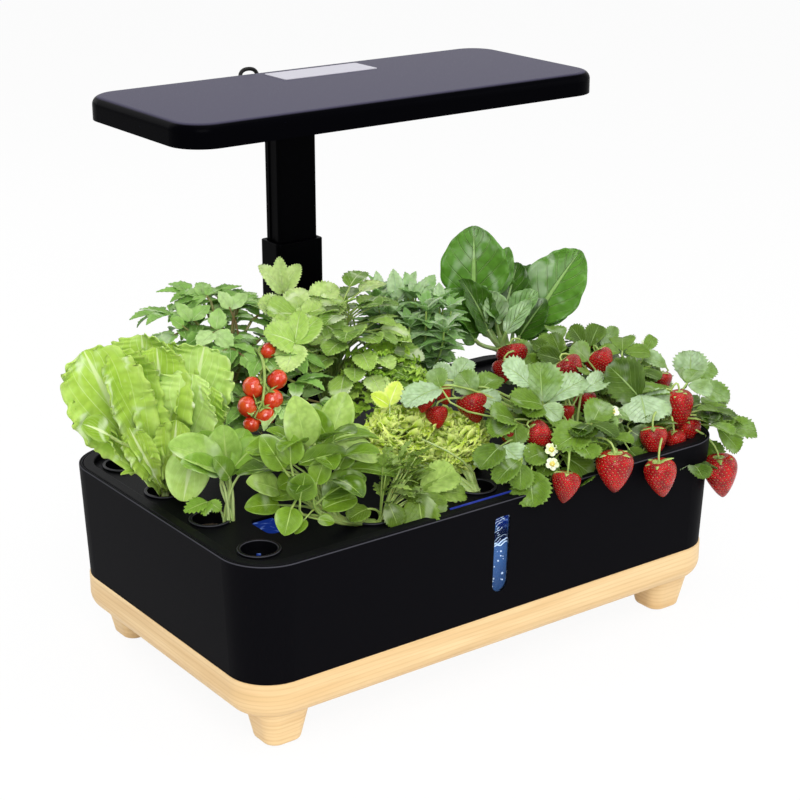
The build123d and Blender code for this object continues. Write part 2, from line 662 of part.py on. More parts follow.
# ---------------------------------------------------------------- mast
with BuildPart() as mast_bracket:
    with BuildSketch(Plane.XY.offset(bracket_z)):
        with Locations((0, bracket_rear)):
            Rectangle(bracket_width, bracket_rear - boss_start, align=(Align.CENTER, Align.MAX))
    extrude(amount=BRACKET_HEIGHT)
    fillet(mast_bracket.edges().filter_by(Axis.Z).group_by(Axis.Y)[-1], BRACKET_ROUND)
    with BuildSketch(Plane.XY.offset(bracket_z)):
        with Locations((0, ear_face)):
            Rectangle(bracket_width + 2 * BRACKET_EAR, ear_face - boss_start, align=(Align.CENTER, Align.MAX))
    extrude(amount=BRACKET_HEIGHT)
    fillet(mast_bracket.edges().filter_by(Axis.Y).group_by(Axis.X)[0], BRACKET_ROUND)
    fillet(mast_bracket.edges().filter_by(Axis.Y).group_by(Axis.X)[-1], BRACKET_ROUND)
    add(tank_block.part, mode=Mode.SUBTRACT)
    extrude(
        rounded_outline(
            sleeve_width + 2 * SEAT_GAP,
            sleeve_depth + 2 * SEAT_GAP,
            SLEEVE_CORNER + SEAT_GAP,
            sleeve_bottom,
            mast_y,
        ),
        amount=BRACKET_HEIGHT,
        mode=Mode.SUBTRACT,
    )
    with BuildSketch(Plane.XZ.offset(-ear_face)):
        with Locations(*ear_screw_places):
            Circle(screw_hole)
    extrude(amount=SCREW_LENGTH, mode=Mode.SUBTRACT)
    with BuildSketch(Plane.XZ.offset(-bracket_rear)):
        with Locations((0, bracket_z + INLET_HEIGHT)):
            Circle(INLET_RADIUS + SEAT_GAP)
    extrude(amount=INLET_DEPTH + SEAT_GAP, mode=Mode.SUBTRACT)
save(mast_bracket.part, "mast_bracket")

with BuildPart() as dc_inlet:
    with BuildSketch(Plane.XZ.offset(-bracket_rear)):
        with Locations((0, bracket_z + INLET_HEIGHT)):
            Circle(INLET_RADIUS)
    extrude(amount=INLET_DEPTH)
    with BuildSketch(Plane.XZ.offset(-bracket_rear)):
        with Locations((0, bracket_z + INLET_HEIGHT)):
            Circle(INLET_FLANGE_RADIUS)
    extrude(amount=-INLET_FLANGE_THICKNESS)
    with BuildSketch(Plane.XZ.offset(-bracket_rear - INLET_FLANGE_THICKNESS)):
        with Locations((0, bracket_z + INLET_HEIGHT)):
            Circle(INLET_BORE)
            Circle(INLET_PIN, mode=Mode.SUBTRACT)
    extrude(amount=INLET_FLANGE_THICKNESS + INLET_DEPTH - INLET_BACK, mode=Mode.SUBTRACT)
save(dc_inlet.part, "dc_inlet")

with BuildPart() as mast_sleeve:
    extrude(
        rounded_outline(sleeve_width, sleeve_depth, SLEEVE_CORNER, sleeve_bottom, mast_y),
        amount=SLEEVE_LENGTH,
    )
    extrude(
        rounded_outline(
            sleeve_inner_width, sleeve_inner_depth, POST_CORNER + SLIDE_GAP, sleeve_bottom, mast_y
        ),
        amount=SLEEVE_LENGTH,
        mode=Mode.SUBTRACT,
    )
    fillet(mast_sleeve.faces().sort_by(Axis.Z)[-1].edges(), SLEEVE_LIP_ROUND)
save(mast_sleeve.part, "mast_sleeve")

post_bottom = post_top - POST_LENGTH
hollow_width = POST_WIDTH - 2 * (POST_WALL + POST_GROOVE_DEPTH)
hollow_depth = POST_DEPTH - 2 * POST_WALL

with BuildPart() as inner_post:
    extrude(rounded_outline(POST_WIDTH, POST_DEPTH, POST_CORNER, post_bottom, mast_y), amount=POST_LENGTH)
    extrude(
        rounded_outline(hollow_width, hollow_depth, POST_CORNER / 2, post_bottom, mast_y),
        amount=POST_LENGTH,
        mode=Mode.SUBTRACT,
    )
    with BuildSketch(Plane.XY.offset(post_bottom)):
        with Locations((-POST_WIDTH / 2, mast_y), (POST_WIDTH / 2, mast_y)):
            Rectangle(2 * POST_GROOVE_DEPTH, POST_GROOVE_WIDTH)
    extrude(amount=POST_LENGTH, mode=Mode.SUBTRACT)
save(inner_post.part, "inner_post")

# ---------------------------------------------------------------- lamp head
collar_width = POST_WIDTH + 2 * COLLAR_WALL
collar_depth = POST_DEPTH + 2 * COLLAR_WALL
plate_depth = collar_depth + COLLAR_PLATE_REACH
lead_y = LAMP_REAR_Y + LEAD_STAND_OFF
lead_exit_z = lamp_top - LEAD_EXIT_DROP
lead_side_z = lamp_top - LEAD_SIDE_DROP

with BuildPart() as lamp_collar:
    extrude(
        rounded_outline(collar_width, collar_depth, COLLAR_CORNER, collar_z, mast_y),
        amount=COLLAR_HEIGHT - COLLAR_PLATE_THICKNESS,
    )
    fillet(lamp_collar.faces().sort_by(Axis.Z)[0].edges(), COLLAR_ROUND)
    extrude(
        rounded_outline(
            collar_width,
            plate_depth,
            COLLAR_CORNER,
            lamp_z - COLLAR_PLATE_THICKNESS,
            mast_y - COLLAR_PLATE_REACH / 2,
        ),
        amount=COLLAR_PLATE_THICKNESS,
    )
    extrude(
        rounded_outline(
            POST_WIDTH + 2 * SEAT_GAP, POST_DEPTH + 2 * SEAT_GAP, POST_CORNER + SEAT_GAP, collar_z, mast_y
        ),
        amount=COLLAR_HEIGHT - COLLAR_PLATE_THICKNESS,
        mode=Mode.SUBTRACT,
    )
save(lamp_collar.part, "lamp_collar")

pocket_height = LAMP_THICKNESS - LAMP_WALL - LAMP_SEAT
upper_shift = LAMP_WALL + LAMP_LEDGE

with BuildPart() as lamp_housing:
    extrude(rounded_outline(LAMP_LENGTH, LAMP_DEPTH, LAMP_CORNER, lamp_z, lamp_y), amount=LAMP_THICKNESS)
    fillet(lamp_housing.faces().sort_by(Axis.Z)[-1].edges(), LAMP_ROUND)
    extrude(
        rounded_outline(
            LAMP_LENGTH - 2 * upper_shift,
            LAMP_DEPTH - 2 * upper_shift,
            LAMP_CORNER - upper_shift,
            lamp_z + LAMP_SEAT,
            lamp_y,
        ),
        amount=pocket_height,
        mode=Mode.SUBTRACT,
    )
    extrude(
        rounded_outline(LAMP_LENGTH - 2 * LAMP_WALL, light_depth, LAMP_CORNER - LAMP_WALL, lamp_z, light_y),
        amount=LAMP_SEAT,
        mode=Mode.SUBTRACT,
    )
    with BuildSketch(Plane((0, light_y, lamp_top - LAMP_WALL))):
        with GridLocations(BOARD_BOSS_SPACING_X, BOARD_BOSS_SPACING_Y, BOARD_BOSS_COLUMNS, BOARD_BOSS_ROWS):
            Circle(BOARD_BOSS_RADIUS)
    extrude(amount=-(lamp_top - LAMP_WALL - board_z - BOARD_THICKNESS))
    with BuildSketch(Plane((PLATE_X, LAMP_REAR_Y - PLATE_FROM_REAR, lamp_top))):
        RectangleRounded(PLATE_LENGTH + 2 * LENS_GAP, PLATE_DEPTH + 2 * LENS_GAP, PLATE_CORNER + LENS_GAP)
    extrude(amount=PLATE_PROUD - PLATE_THICKNESS, mode=Mode.SUBTRACT)
    with BuildSketch(Plane.XZ.offset(-LAMP_REAR_Y)):
        with Locations((LEAD_X, lead_exit_z)):
            Circle(LEAD_BOOT_RADIUS)
    extrude(amount=-LEAD_BOOT_LENGTH)
    with BuildSketch(Plane.XZ.offset(-LAMP_REAR_Y - LEAD_BOOT_LENGTH)):
        with Locations((LEAD_X, lead_exit_z)):
            Circle(LEAD_RADIUS + SEAT_GAP)
    extrude(amount=LEAD_BOOT_LENGTH, mode=Mode.SUBTRACT)
save(lamp_housing.part, "lamp_housing")

with BuildPart() as control_plate:
    with BuildSketch(Plane((PLATE_X, LAMP_REAR_Y - PLATE_FROM_REAR, lamp_top + PLATE_PROUD))):
        RectangleRounded(PLATE_LENGTH, PLATE_DEPTH, PLATE_CORNER)
    extrude(amount=-PLATE_THICKNESS)
save(control_plate.part, "control_plate")

board_length = LAMP_LENGTH - 2 * (upper_shift + BOARD_EDGE_GAP)
board_depth = light_depth - 2 * (LAMP_LEDGE + BOARD_EDGE_GAP)
board_corner = LAMP_CORNER - upper_shift - BOARD_EDGE_GAP

with BuildPart() as led_board:
    extrude(
        rounded_outline(board_length, board_depth, board_corner, board_z, light_y),
        amount=BOARD_THICKNESS,
    )
    with BuildSketch(Plane((0, light_y, board_z))):
        with GridLocations(LED_PITCH_X, LED_PITCH_Y, LED_COLUMNS, LED_ROWS):
            Rectangle(LED_SIZE, LED_SIZE)
    extrude(amount=-LED_HEIGHT)
save(led_board.part, "led_board")

with BuildPart() as led_diffuser:
    extrude(
        rounded_outline(
            LAMP_LENGTH - 2 * (LAMP_WALL + LENS_GAP),
            light_depth - 2 * LENS_GAP,
            LAMP_CORNER - LAMP_WALL - LENS_GAP,
            lamp_z + LAMP_SEAT - SEAT_GAP - DIFFUSER_THICKNESS,
            light_y,
        ),
        amount=DIFFUSER_THICKNESS,
    )
save(led_diffuser.part, "led_diffuser")


def bend_radii(points):
    """Arc radii for a cord's route: each arc takes LEAD_BEND_SHARE of the shorter run beside it."""
    radii = []
    for before, corner, after in zip(points, points[1:], points[2:]):
        into = Vector(*corner) - Vector(*before)
        out = Vector(*after) - Vector(*corner)
        half_turn = radians(into.get_angle(out)) / 2
        radii.append(LEAD_BEND_SHARE * min(into.length, out.length) / tan(half_turn))
    return radii


loop_left = LEAD_X - LEAD_LOOP_WIDTH
loop_top = lamp_top + LEAD_LOOP_RISE
lead_route = [
    (LEAD_X, LAMP_REAR_Y + SEAT_GAP, lead_exit_z),
    (LEAD_X, lead_y, lead_exit_z),
    (LEAD_X - LEAD_SWAY, lead_y + LEAD_SWAY, loop_top),
    (loop_left + LEAD_SWAY, lead_y + LEAD_SWAY, loop_top),
    (loop_left, lead_y, lead_exit_z),
    (loop_left, lead_y, lead_side_z + LEAD_FOOT_RISE),
    (loop_left + LEAD_FOOT, lead_y - LEAD_SWAY, lead_side_z),
    (-collar_width / 2 - SEAT_GAP, lead_y - LEAD_SWAY, lead_side_z),
]
with BuildPart() as lamp_lead:
    with BuildLine() as lead_path:
        FilletPolyline(*lead_route, radius=bend_radii(lead_route))
    with BuildSketch(Plane(lead_route[0], z_dir=lead_path.line % 0)):
        Circle(LEAD_RADIUS)
    sweep()
save(lamp_lead.part, "lamp_lead")

# ---------------------------------------------------------------- pump
pump_front = PUMP_X - PUMP_LENGTH / 2
axis_z = floor_z + PUMP_HEIGHT / 2
pump_face = Plane((pump_front, PUMP_Y, axis_z), x_dir=(0, -1, 0), z_dir=(-1, 0, 0))
magnet_bore = ROTOR_MAGNET_RADIUS + ROTOR_GAP
bore_depth = PUMP_CHAMBER_DEPTH + ROTOR_MAGNET_LENGTH + ROTOR_GAP
shaft_bore = SHAFT_RADIUS + SHAFT_GAP
chamber_middle = pump_front + PUMP_CHAMBER_DEPTH / 2

with BuildPart() as pump_housing:
    with BuildSketch(Plane((PUMP_X, PUMP_Y, floor_z))):
        RectangleRounded(PUMP_LENGTH, PUMP_WIDTH, PUMP_ROUND)
    extrude(amount=PUMP_HEIGHT)
    with BuildSketch(Plane((chamber_middle, PUMP_Y, floor_z + PUMP_HEIGHT))):
        Circle(PUMP_OUTLET_RADIUS)
    extrude(amount=PUMP_OUTLET_HEIGHT)
    with BuildSketch(pump_face):
        Circle(PUMP_CHAMBER_RADIUS)
    extrude(amount=-PUMP_CHAMBER_DEPTH, mode=Mode.SUBTRACT)
    with BuildSketch(pump_face):
        Circle(magnet_bore)
    extrude(amount=-bore_depth, mode=Mode.SUBTRACT)
    with BuildSketch(pump_face):
        Circle(shaft_bore)
    extrude(amount=-bore_depth - SHAFT_SEAT_DEPTH, mode=Mode.SUBTRACT)
    with BuildSketch(Plane((chamber_middle, PUMP_Y, axis_z))):
        Circle(PUMP_OUTLET_BORE)
    extrude(amount=PUMP_HEIGHT / 2 + PUMP_OUTLET_HEIGHT, mode=Mode.SUBTRACT)
save(pump_housing.part, "pump_housing")

with BuildPart() as pump_cover:
    with BuildSketch(pump_face):
        RectangleRounded(PUMP_WIDTH, PUMP_HEIGHT, PUMP_ROUND)
    extrude(amount=PUMP_COVER_THICKNESS)
    with BuildSketch(pump_face):
        Circle(shaft_bore)
    extrude(amount=SHAFT_COVER_DEPTH, mode=Mode.SUBTRACT)
    with BuildSketch(pump_face):
        for side in (-1, 1):
            with Locations((side * (PUMP_INTAKE_LENGTH / 2 + 2 * SHAFT_RADIUS), 0)):
                with GridLocations(PUMP_INTAKE_LENGTH, PUMP_INTAKE_PITCH, 1, PUMP_INTAKE_SLOTS):
                    Rectangle(PUMP_INTAKE_LENGTH, PUMP_INTAKE_WIDTH)
    extrude(amount=PUMP_COVER_THICKNESS, mode=Mode.SUBTRACT)
save(pump_cover.part, "pump_cover")

with BuildPart() as pump_shaft:
    with BuildSketch(pump_face.offset(SHAFT_COVER_DEPTH - SEAT_GAP)):
        Circle(SHAFT_RADIUS)
    extrude(amount=-(SHAFT_COVER_DEPTH + bore_depth + SHAFT_SEAT_DEPTH - 2 * SEAT_GAP))
save(pump_shaft.part, "pump_shaft")

blade_start = pump_face.offset(-ROTOR_GAP)
rotor_length = ROTOR_BLADE_HEIGHT + ROTOR_DISC + ROTOR_MAGNET_LENGTH

with BuildPart() as pump_rotor:
    with BuildSketch(blade_start):
        Circle(2 * SHAFT_RADIUS)
        with PolarLocations(ROTOR_BLADE_RADIUS / 2, ROTOR_BLADES):
            Rectangle(ROTOR_BLADE_RADIUS, ROTOR_BLADE_THICKNESS)
    extrude(amount=-ROTOR_BLADE_HEIGHT)
    with BuildSketch(blade_start.offset(-ROTOR_BLADE_HEIGHT)):
        Circle(ROTOR_BLADE_RADIUS)
    extrude(amount=-ROTOR_DISC)
    with BuildSketch(blade_start.offset(-ROTOR_BLADE_HEIGHT - ROTOR_DISC)):
        Circle(ROTOR_MAGNET_RADIUS)
    extrude(amount=-ROTOR_MAGNET_LENGTH)
    with BuildSketch(blade_start):
        Circle(shaft_bore)
    extrude(amount=-rotor_length, mode=Mode.SUBTRACT)
save(pump_rotor.part, "pump_rotor")
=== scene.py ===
"""Looks of the countertop hydroponic garden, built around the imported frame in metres.

Sizes in the classes are millimetres in the frame's axes: +X right, -Y towards the water window, +Z up.
"""

from __future__ import annotations

import json
import logging
import math
import random
from dataclasses import dataclass, replace
from enum import Enum

import bpy
import numpy as np
from mathutils import Matrix, Vector

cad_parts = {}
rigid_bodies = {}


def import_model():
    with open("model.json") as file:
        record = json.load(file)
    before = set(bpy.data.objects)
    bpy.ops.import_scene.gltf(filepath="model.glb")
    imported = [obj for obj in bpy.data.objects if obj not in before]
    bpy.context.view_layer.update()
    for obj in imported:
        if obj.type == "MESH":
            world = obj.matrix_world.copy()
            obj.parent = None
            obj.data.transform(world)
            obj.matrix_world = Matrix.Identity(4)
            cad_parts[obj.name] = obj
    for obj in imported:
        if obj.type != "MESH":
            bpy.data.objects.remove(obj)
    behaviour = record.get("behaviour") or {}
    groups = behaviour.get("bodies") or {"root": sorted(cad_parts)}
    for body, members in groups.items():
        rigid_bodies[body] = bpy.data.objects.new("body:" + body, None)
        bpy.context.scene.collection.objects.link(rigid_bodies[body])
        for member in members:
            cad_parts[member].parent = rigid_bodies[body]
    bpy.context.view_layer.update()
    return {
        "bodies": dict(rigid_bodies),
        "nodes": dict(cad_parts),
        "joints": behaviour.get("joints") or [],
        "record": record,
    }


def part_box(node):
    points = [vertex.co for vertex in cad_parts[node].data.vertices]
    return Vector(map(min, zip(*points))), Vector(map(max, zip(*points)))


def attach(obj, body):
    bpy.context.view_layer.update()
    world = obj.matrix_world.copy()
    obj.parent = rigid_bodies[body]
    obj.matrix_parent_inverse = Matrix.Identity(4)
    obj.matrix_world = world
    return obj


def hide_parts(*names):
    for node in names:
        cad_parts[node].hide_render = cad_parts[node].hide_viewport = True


MM = 0.001
WHITE = (1.0, 1.0, 1.0, 1.0)
GOLDEN_TURN = 137.5
WATER_LEVEL = 115.4
POD_NUMBERS = range(1, 15)
MIDDLE_TONES = (0.3, 0.7)
MOST_TONES = (0.2, 0.8)
SKIN_DEPTH = 0.002
Colour = tuple[float, float, float]
Point = tuple[float, float, float]
Pair = tuple[float, float]
Socket = bpy.types.NodeSocket
log = logging.getLogger("garden")


# ---------------------------------------------------------------- materials
class Graph:
    """A node material or world while it is being wired."""

    def __init__(self, name: str, world: bool = False) -> None:
        """Start an empty material, or a world, with its main shader."""
        self.owner = bpy.data.worlds.new(name) if world else bpy.data.materials.new(name)
        self.owner.use_nodes = True
        self.tree = self.owner.node_tree
        self.shader = self.tree.nodes["Background" if world else "Principled BSDF"]
        self.output = self.tree.nodes["World Output" if world else "Material Output"]

    def node(self, kind: str, inputs: dict | None = None, **settings: object) -> bpy.types.Node:
        """Add a shader node.

        Args:
            kind: the node's type without its ShaderNode prefix.
            inputs: values or sockets for its inputs, by name or number.
            settings: the node's own properties.

        Returns:
            The new node.
        """
        made = self.tree.nodes.new("ShaderNode" + kind)
        for key, value in settings.items():
            setattr(made, key, value)
        for key, value in (inputs or {}).items():
            self.feed(made.inputs[key], value)
        return made

    def feed(self, socket: Socket, value: object) -> None:
        """Link a socket to another socket, or give it a value."""
        if isinstance(value, Socket):
            self.tree.links.new(value, socket)
        else:
            socket.default_value = value

    def place(self, scale: Point = (1, 1, 1)) -> Socket:
        """Object coordinates, scaled."""
        source = self.node("TexCoord").outputs["Object"]
        return self.node("Mapping", {"Vector": source, "Scale": scale}).outputs["Vector"]

    def height(self) -> Socket:
        """The height above the table in metres."""
        return self.node("SeparateXYZ", {0: self.place()}).outputs["Z"]

    def leaf_map(self) -> tuple[Socket, Socket]:
        """The piece's own UV map: across it and along it."""
        made = self.node("SeparateXYZ", {0: self.node("UVMap", uv_map="UVMap").outputs[0]})
        return made.outputs["X"], made.outputs["Y"]

    def noise(self, where: Socket, scale: float, detail: float = 3.0, warp: float = 0.0) -> Socket:
        """Smooth noise from 0 to 1."""
        inputs = {"Vector": where, "Scale": scale, "Detail": detail, "Distortion": warp}
        return self.node("TexNoise", inputs).outputs[0]

    def cells(self, scale: float, smooth: bool = False, where: Socket | None = None) -> Socket:
        """Distance from the middle of the nearest cell."""
        inputs = {"Vector": where or self.place(), "Scale": scale}
        return self.node("TexVoronoi", inputs, feature="SMOOTH_F1" if smooth else "F1").outputs["Distance"]

    def sum(self, operation: str, a: object, b: object = 0.0) -> Socket:
        """The result of a Math node."""
        return self.node("Math", {0: a, 1: b}, operation=operation).outputs[0]

    def band(self, value: object, low: float, high: float, first: float = 0.0, last: float = 1.0) -> Socket:
        """A smooth step of value from low to high, given as first to last."""
        limits = {"Value": value, "From Min": low, "From Max": high, "To Min": first, "To Max": last}
        return self.node("MapRange", limits, interpolation_type="SMOOTHSTEP").outputs[0]

    def mix(self, share: object, a: object, b: object) -> Socket:
        """Colour a turned into colour b by share."""
        made = self.node("Mix", {0: share}, data_type="RGBA")
        for socket, value in ((made.inputs[6], a), (made.inputs[7], b)):
            self.feed(socket, value if isinstance(value, Socket) else (*value, 1.0))
        return made.outputs[2]

    def bump(self, height: object, depth: float, strength: float = 1.0) -> Socket:
        """A normal from a height of 0 to 1 over a depth in millimetres."""
        return self.node("Bump", {"Height": height, "Distance": depth * MM, "Strength": strength}).outputs[0]

    def seen(self) -> Socket:
        """1 for rays from the camera or from glossy and clear things, else 0."""
        ray = self.node("LightPath").outputs
        first = self.sum("MAXIMUM", ray["Is Camera Ray"], ray["Is Glossy Ray"])
        return self.sum("MAXIMUM", first, ray["Is Transmission Ray"])

    def show(self, share: object, hidden: object, shown: object) -> None:
        """Wire the output to a mix of two shaders."""
        both = self.node("MixShader", {0: share, 1: hidden, 2: shown}).outputs[0]
        self.tree.links.new(both, self.output.inputs["Surface"])

    def finish(self, **sockets: object) -> bpy.types.Material:
        """Set the main shader's sockets, given with underscores for spaces, and return the material."""
        for key, value in sockets.items():
            socket = self.shader.inputs[key.replace("_", " ")]
            colour = isinstance(value, tuple) and socket.type == "RGBA"
            self.feed(socket, (*value, 1.0) if colour else value)
        return self.owner


def shade(colour: Colour, share: float) -> Colour:
    """A colour made darker or paler by a factor."""
    return tuple(c * share for c in colour)


@dataclass(frozen=True)
class Plastic:
    """Moulded plastic or paint: an even colour with a fine texture and slightly uneven gloss."""

    name: str
    colour: Colour
    gloss: Pair
    grain: float
    depth: float
    shine: float
    # The edge colour is a painted highlight in a line below the top: it rises over the lower span and falls
    # over the upper one, in millimetres.
    edge: Colour = (0.0, 0.0, 0.0)
    top: float = 0.0
    lower: Pair = (1.0, 0.4)
    upper: Pair = (0.15, 0.03)

    def make(self) -> bpy.types.Material:
        """Wire the material, with a painted highlight where it has one: a paler line on the rounded edge below
        its top.
        """
        g = Graph(self.name)
        pits = g.noise(g.place(), self.grain, 2)
        tone = g.mix(pits, shade(self.colour, 0.94), shade(self.colour, 1.06))
        if self.top:
            rising, falling = ([self.top - below * MM for below in ends] for ends in (self.lower, self.upper))
            # A line of painted highlight along the rounded edge below the top.
            line = g.sum("MULTIPLY", g.band(g.height(), *rising), g.band(g.height(), *falling, 1.0, 0.0))
            tone = g.mix(line, tone, self.edge)
        return g.finish(Base_Color=tone, Roughness=g.band(pits, *MOST_TONES, *self.gloss),
                        Normal=g.bump(pits, self.depth), Specular_IOR_Level=self.shine)


@dataclass(frozen=True)
class LampPaint:
    """Satin black lamp paint, with a painted reflection in blue-grey on the top that fades out at the rounded
    edge.
    """

    name: str = "lamp_shell"
    colour: Colour = (0.0008, 0.0008, 0.0014)
    # The second colour is the painted reflection on the top; it fades out over a span in millimetres below the
    # top.
    top_reflection: Colour = (0.060, 0.056, 0.092)
    top: float = 0.0
    reflection_fade: Pair = (1.3, 0.1)
    gloss: Pair = (0.22, 0.28)
    shine: float = 0.007

    def make(self) -> bpy.types.Material:
        """Wire the material."""
        g = Graph(self.name)
        pits = g.noise(g.place(), 900, 2)
        # Painted reflection: blue-grey on the top, fading to black down the rounded edge.
        level = g.band(g.height(), *(self.top - below * MM for below in self.reflection_fade))
        top_reflection = g.mix(pits, shade(self.top_reflection, 0.92), self.top_reflection)
        return g.finish(Base_Color=g.mix(level, self.colour, top_reflection), Normal=g.bump(pits, 0.006),
                        Roughness=g.band(pits, *MOST_TONES, *self.gloss), Specular_IOR_Level=self.shine)


@dataclass(frozen=True)
class Wood:
    """Pale oiled wood with long grain round the base and fine pores."""

    name: str = "pale_wood"
    pale: Colour = (0.86, 0.63, 0.34)
    warm: Colour = (0.70, 0.45, 0.20)
    line: Colour = (0.50, 0.29, 0.11)

    def make(self) -> bpy.types.Material:
        """Wire the material: the texture's scales along Z are high, so that the grain runs level."""
        g = Graph(self.name)
        drift = g.noise(g.place((1.6, 1.6, 6)), 2.2, 2, 0.4)
        wide = g.noise(g.place((2.2, 2.2, 44)), 2.0, 4, 1.1)
        waves = {"Vector": g.place((1.3, 1.3, 26)), "Scale": 3.2, "Distortion": 7.0, "Detail": 3.0,
                 "Detail Scale": 0.8}
        rings = g.node("TexWave", waves, bands_direction="Z").outputs["Fac"]
        pores = g.noise(g.place((26, 26, 900)), 1.6, 2)
        tone = g.mix(g.band(wide, 0.3, 0.72, 0.0, 0.7), self.pale, self.warm)
        tone = g.mix(g.sum("MULTIPLY", g.band(rings, 0.62, 0.98), 0.2), tone, self.line)
        tone = g.mix(g.band(drift, 0.35, 0.75, 0.0, 0.3), tone, self.pale)
        tone = g.mix(g.band(pores, 0.6, 0.78, 0.0, 0.2), tone, self.line)
        height = g.sum("ADD", g.sum("MULTIPLY", rings, 0.5), g.sum("MULTIPLY", pores, 0.5))
        return g.finish(Base_Color=tone, Roughness=g.band(pores, 0.3, 0.8, 0.42, 0.58),
                        Normal=g.bump(height, 0.06), Specular_IOR_Level=0.35)


@dataclass(frozen=True)
class Metal:
    """Brushed metal."""

    name: str
    colour: Colour
    gloss: Pair = (0.25, 0.4)

    def make(self) -> bpy.types.Material:
        """Wire the material."""
        g = Graph(self.name)
        streaks = g.noise(g.place((900, 900, 60)), 1.0, 2)
        return g.finish(Base_Color=g.mix(streaks, shade(self.colour, 0.85), self.colour), Metallic=1.0,
                        Roughness=g.band(streaks, *MIDDLE_TONES, *self.gloss), Normal=g.bump(streaks, 0.01))


@dataclass(frozen=True)
class Clear:
    """Clear moulded window plastic."""

    name: str = "clear_window"
    tint: Colour = (0.82, 0.91, 1.0)
    index: float = 1.12

    def make(self) -> bpy.types.Material:
        """Wire the material."""
        g = Graph(self.name)
        ripple = g.noise(g.place(), 90, 2)
        return g.finish(Base_Color=self.tint, Roughness=g.band(ripple, 0.3, 0.8, 0.02, 0.08),
                        Normal=g.bump(ripple, 0.03), Transmission_Weight=1.0, IOR=self.index)


@dataclass(frozen=True)
class Frosted:
    """Opal diffuser plastic with a prism texture."""

    name: str = "frosted_panel"
    opal: Colour = (0.93, 0.94, 0.97)
    ridge: Colour = (0.82, 0.84, 0.88)

    def make(self) -> bpy.types.Material:
        """Wire the material."""
        g = Graph(self.name)
        cells = g.cells(420.0)
        tone = g.mix(g.band(cells, *MOST_TONES), self.opal, self.ridge)
        return g.finish(Base_Color=tone, Roughness=g.band(cells, 0.1, 0.7, 0.3, 0.5),
                        Normal=g.bump(cells, 0.15), Subsurface_Weight=0.2, Subsurface_Scale=SKIN_DEPTH)


@dataclass(frozen=True)
class Water:
    """Nutrient water in a faint painted glow: plain and darker below, painted glints on its ripples, painted
    shade at the front.
    """

    name: str = "nutrient_water"
    deep: Colour = (0.022, 0.053, 0.130)
    mid: Colour = (0.040, 0.094, 0.225)
    surface: Colour = (0.006, 0.022, 0.16)
    # A painted glint on the ripples of the surface.
    painted_glint: Colour = (0.22, 0.36, 0.78)
    # Painted shade on the surface towards the front, over a span of Y in metres.
    painted_shade_tone: Colour = (0.004, 0.010, 0.040)
    shade_span: Pair = (-0.118, -0.100)
    # The strength of the emission, which is painted light: the water glows in its own tone.
    glow: float = 0.95

    def make(self) -> bpy.types.Material:
        """Wire the material."""
        g = Graph(self.name)
        place = g.node("SeparateXYZ", {0: g.place()}).outputs
        swell = g.noise(g.place((1, 1, 1.6)), 60, 3, 1.4)
        ripple = g.cells(260.0, True, g.place((1, 1, 0.5)))
        calm = g.mix(g.band(place["Z"], 0.080, 0.112), self.deep, self.mid)
        calm = g.mix(g.band(swell, 0.4, 0.7, 0.0, 0.25), calm, self.deep)
        # Painted glints where ripple and swell meet.
        glint_mask = g.sum("MULTIPLY", g.band(ripple, 0.46, 0.78), g.band(swell, 0.36, 0.6))
        open_water = g.mix(glint_mask, self.surface, self.painted_glint)
        # Painted shade on the surface towards the front.
        open_water = g.mix(g.band(place["Y"], *self.shade_span), self.painted_shade_tone, open_water)
        top = g.band(place["Z"], (WATER_LEVEL - 0.6) * MM, (WATER_LEVEL - 0.1) * MM)
        tone = g.mix(top, calm, open_water)
        return g.finish(Base_Color=tone, Roughness=g.band(swell, *MIDDLE_TONES, 0.06, 0.12), IOR=1.33,
                        Normal=g.bump(ripple, 1.2, 0.7), Emission_Color=tone, Emission_Strength=self.glow)


@dataclass(frozen=True)
class Bubbles:
    """Pale bubbles and foam."""

    name: str = "water_bubbles"
    tone: Colour = (0.78, 0.88, 1.0)
    glow: float = 0.5

    def make(self) -> bpy.types.Material:
        """Wire the material."""
        g = Graph(self.name)
        cloud = g.noise(g.place(), 300, 2)
        tone = g.mix(cloud, shade(self.tone, 0.5), self.tone)
        # The emission is painted light: the bubbles and wave lines glow in their own tone.
        return g.finish(Base_Color=tone, Roughness=g.band(cloud, *MIDDLE_TONES, 0.05, 0.2), Emission_Color=tone,
                        Emission_Strength=self.glow)


class Veins(Enum):
    """How a leaf's side veins run: their count, their slope and their width."""

    FINE = (9.0, 0.35, 0.05)
    BOLD = (6.0, 0.42, 0.09)
    STRAIGHT = (7.0, 0.55, 0.07)
    FAINT = (7.0, 0.3, 0.03)
    FAN = (4.0, 1.1, 0.07)
    PUCKERED = (6.5, 0.4, 0.11)


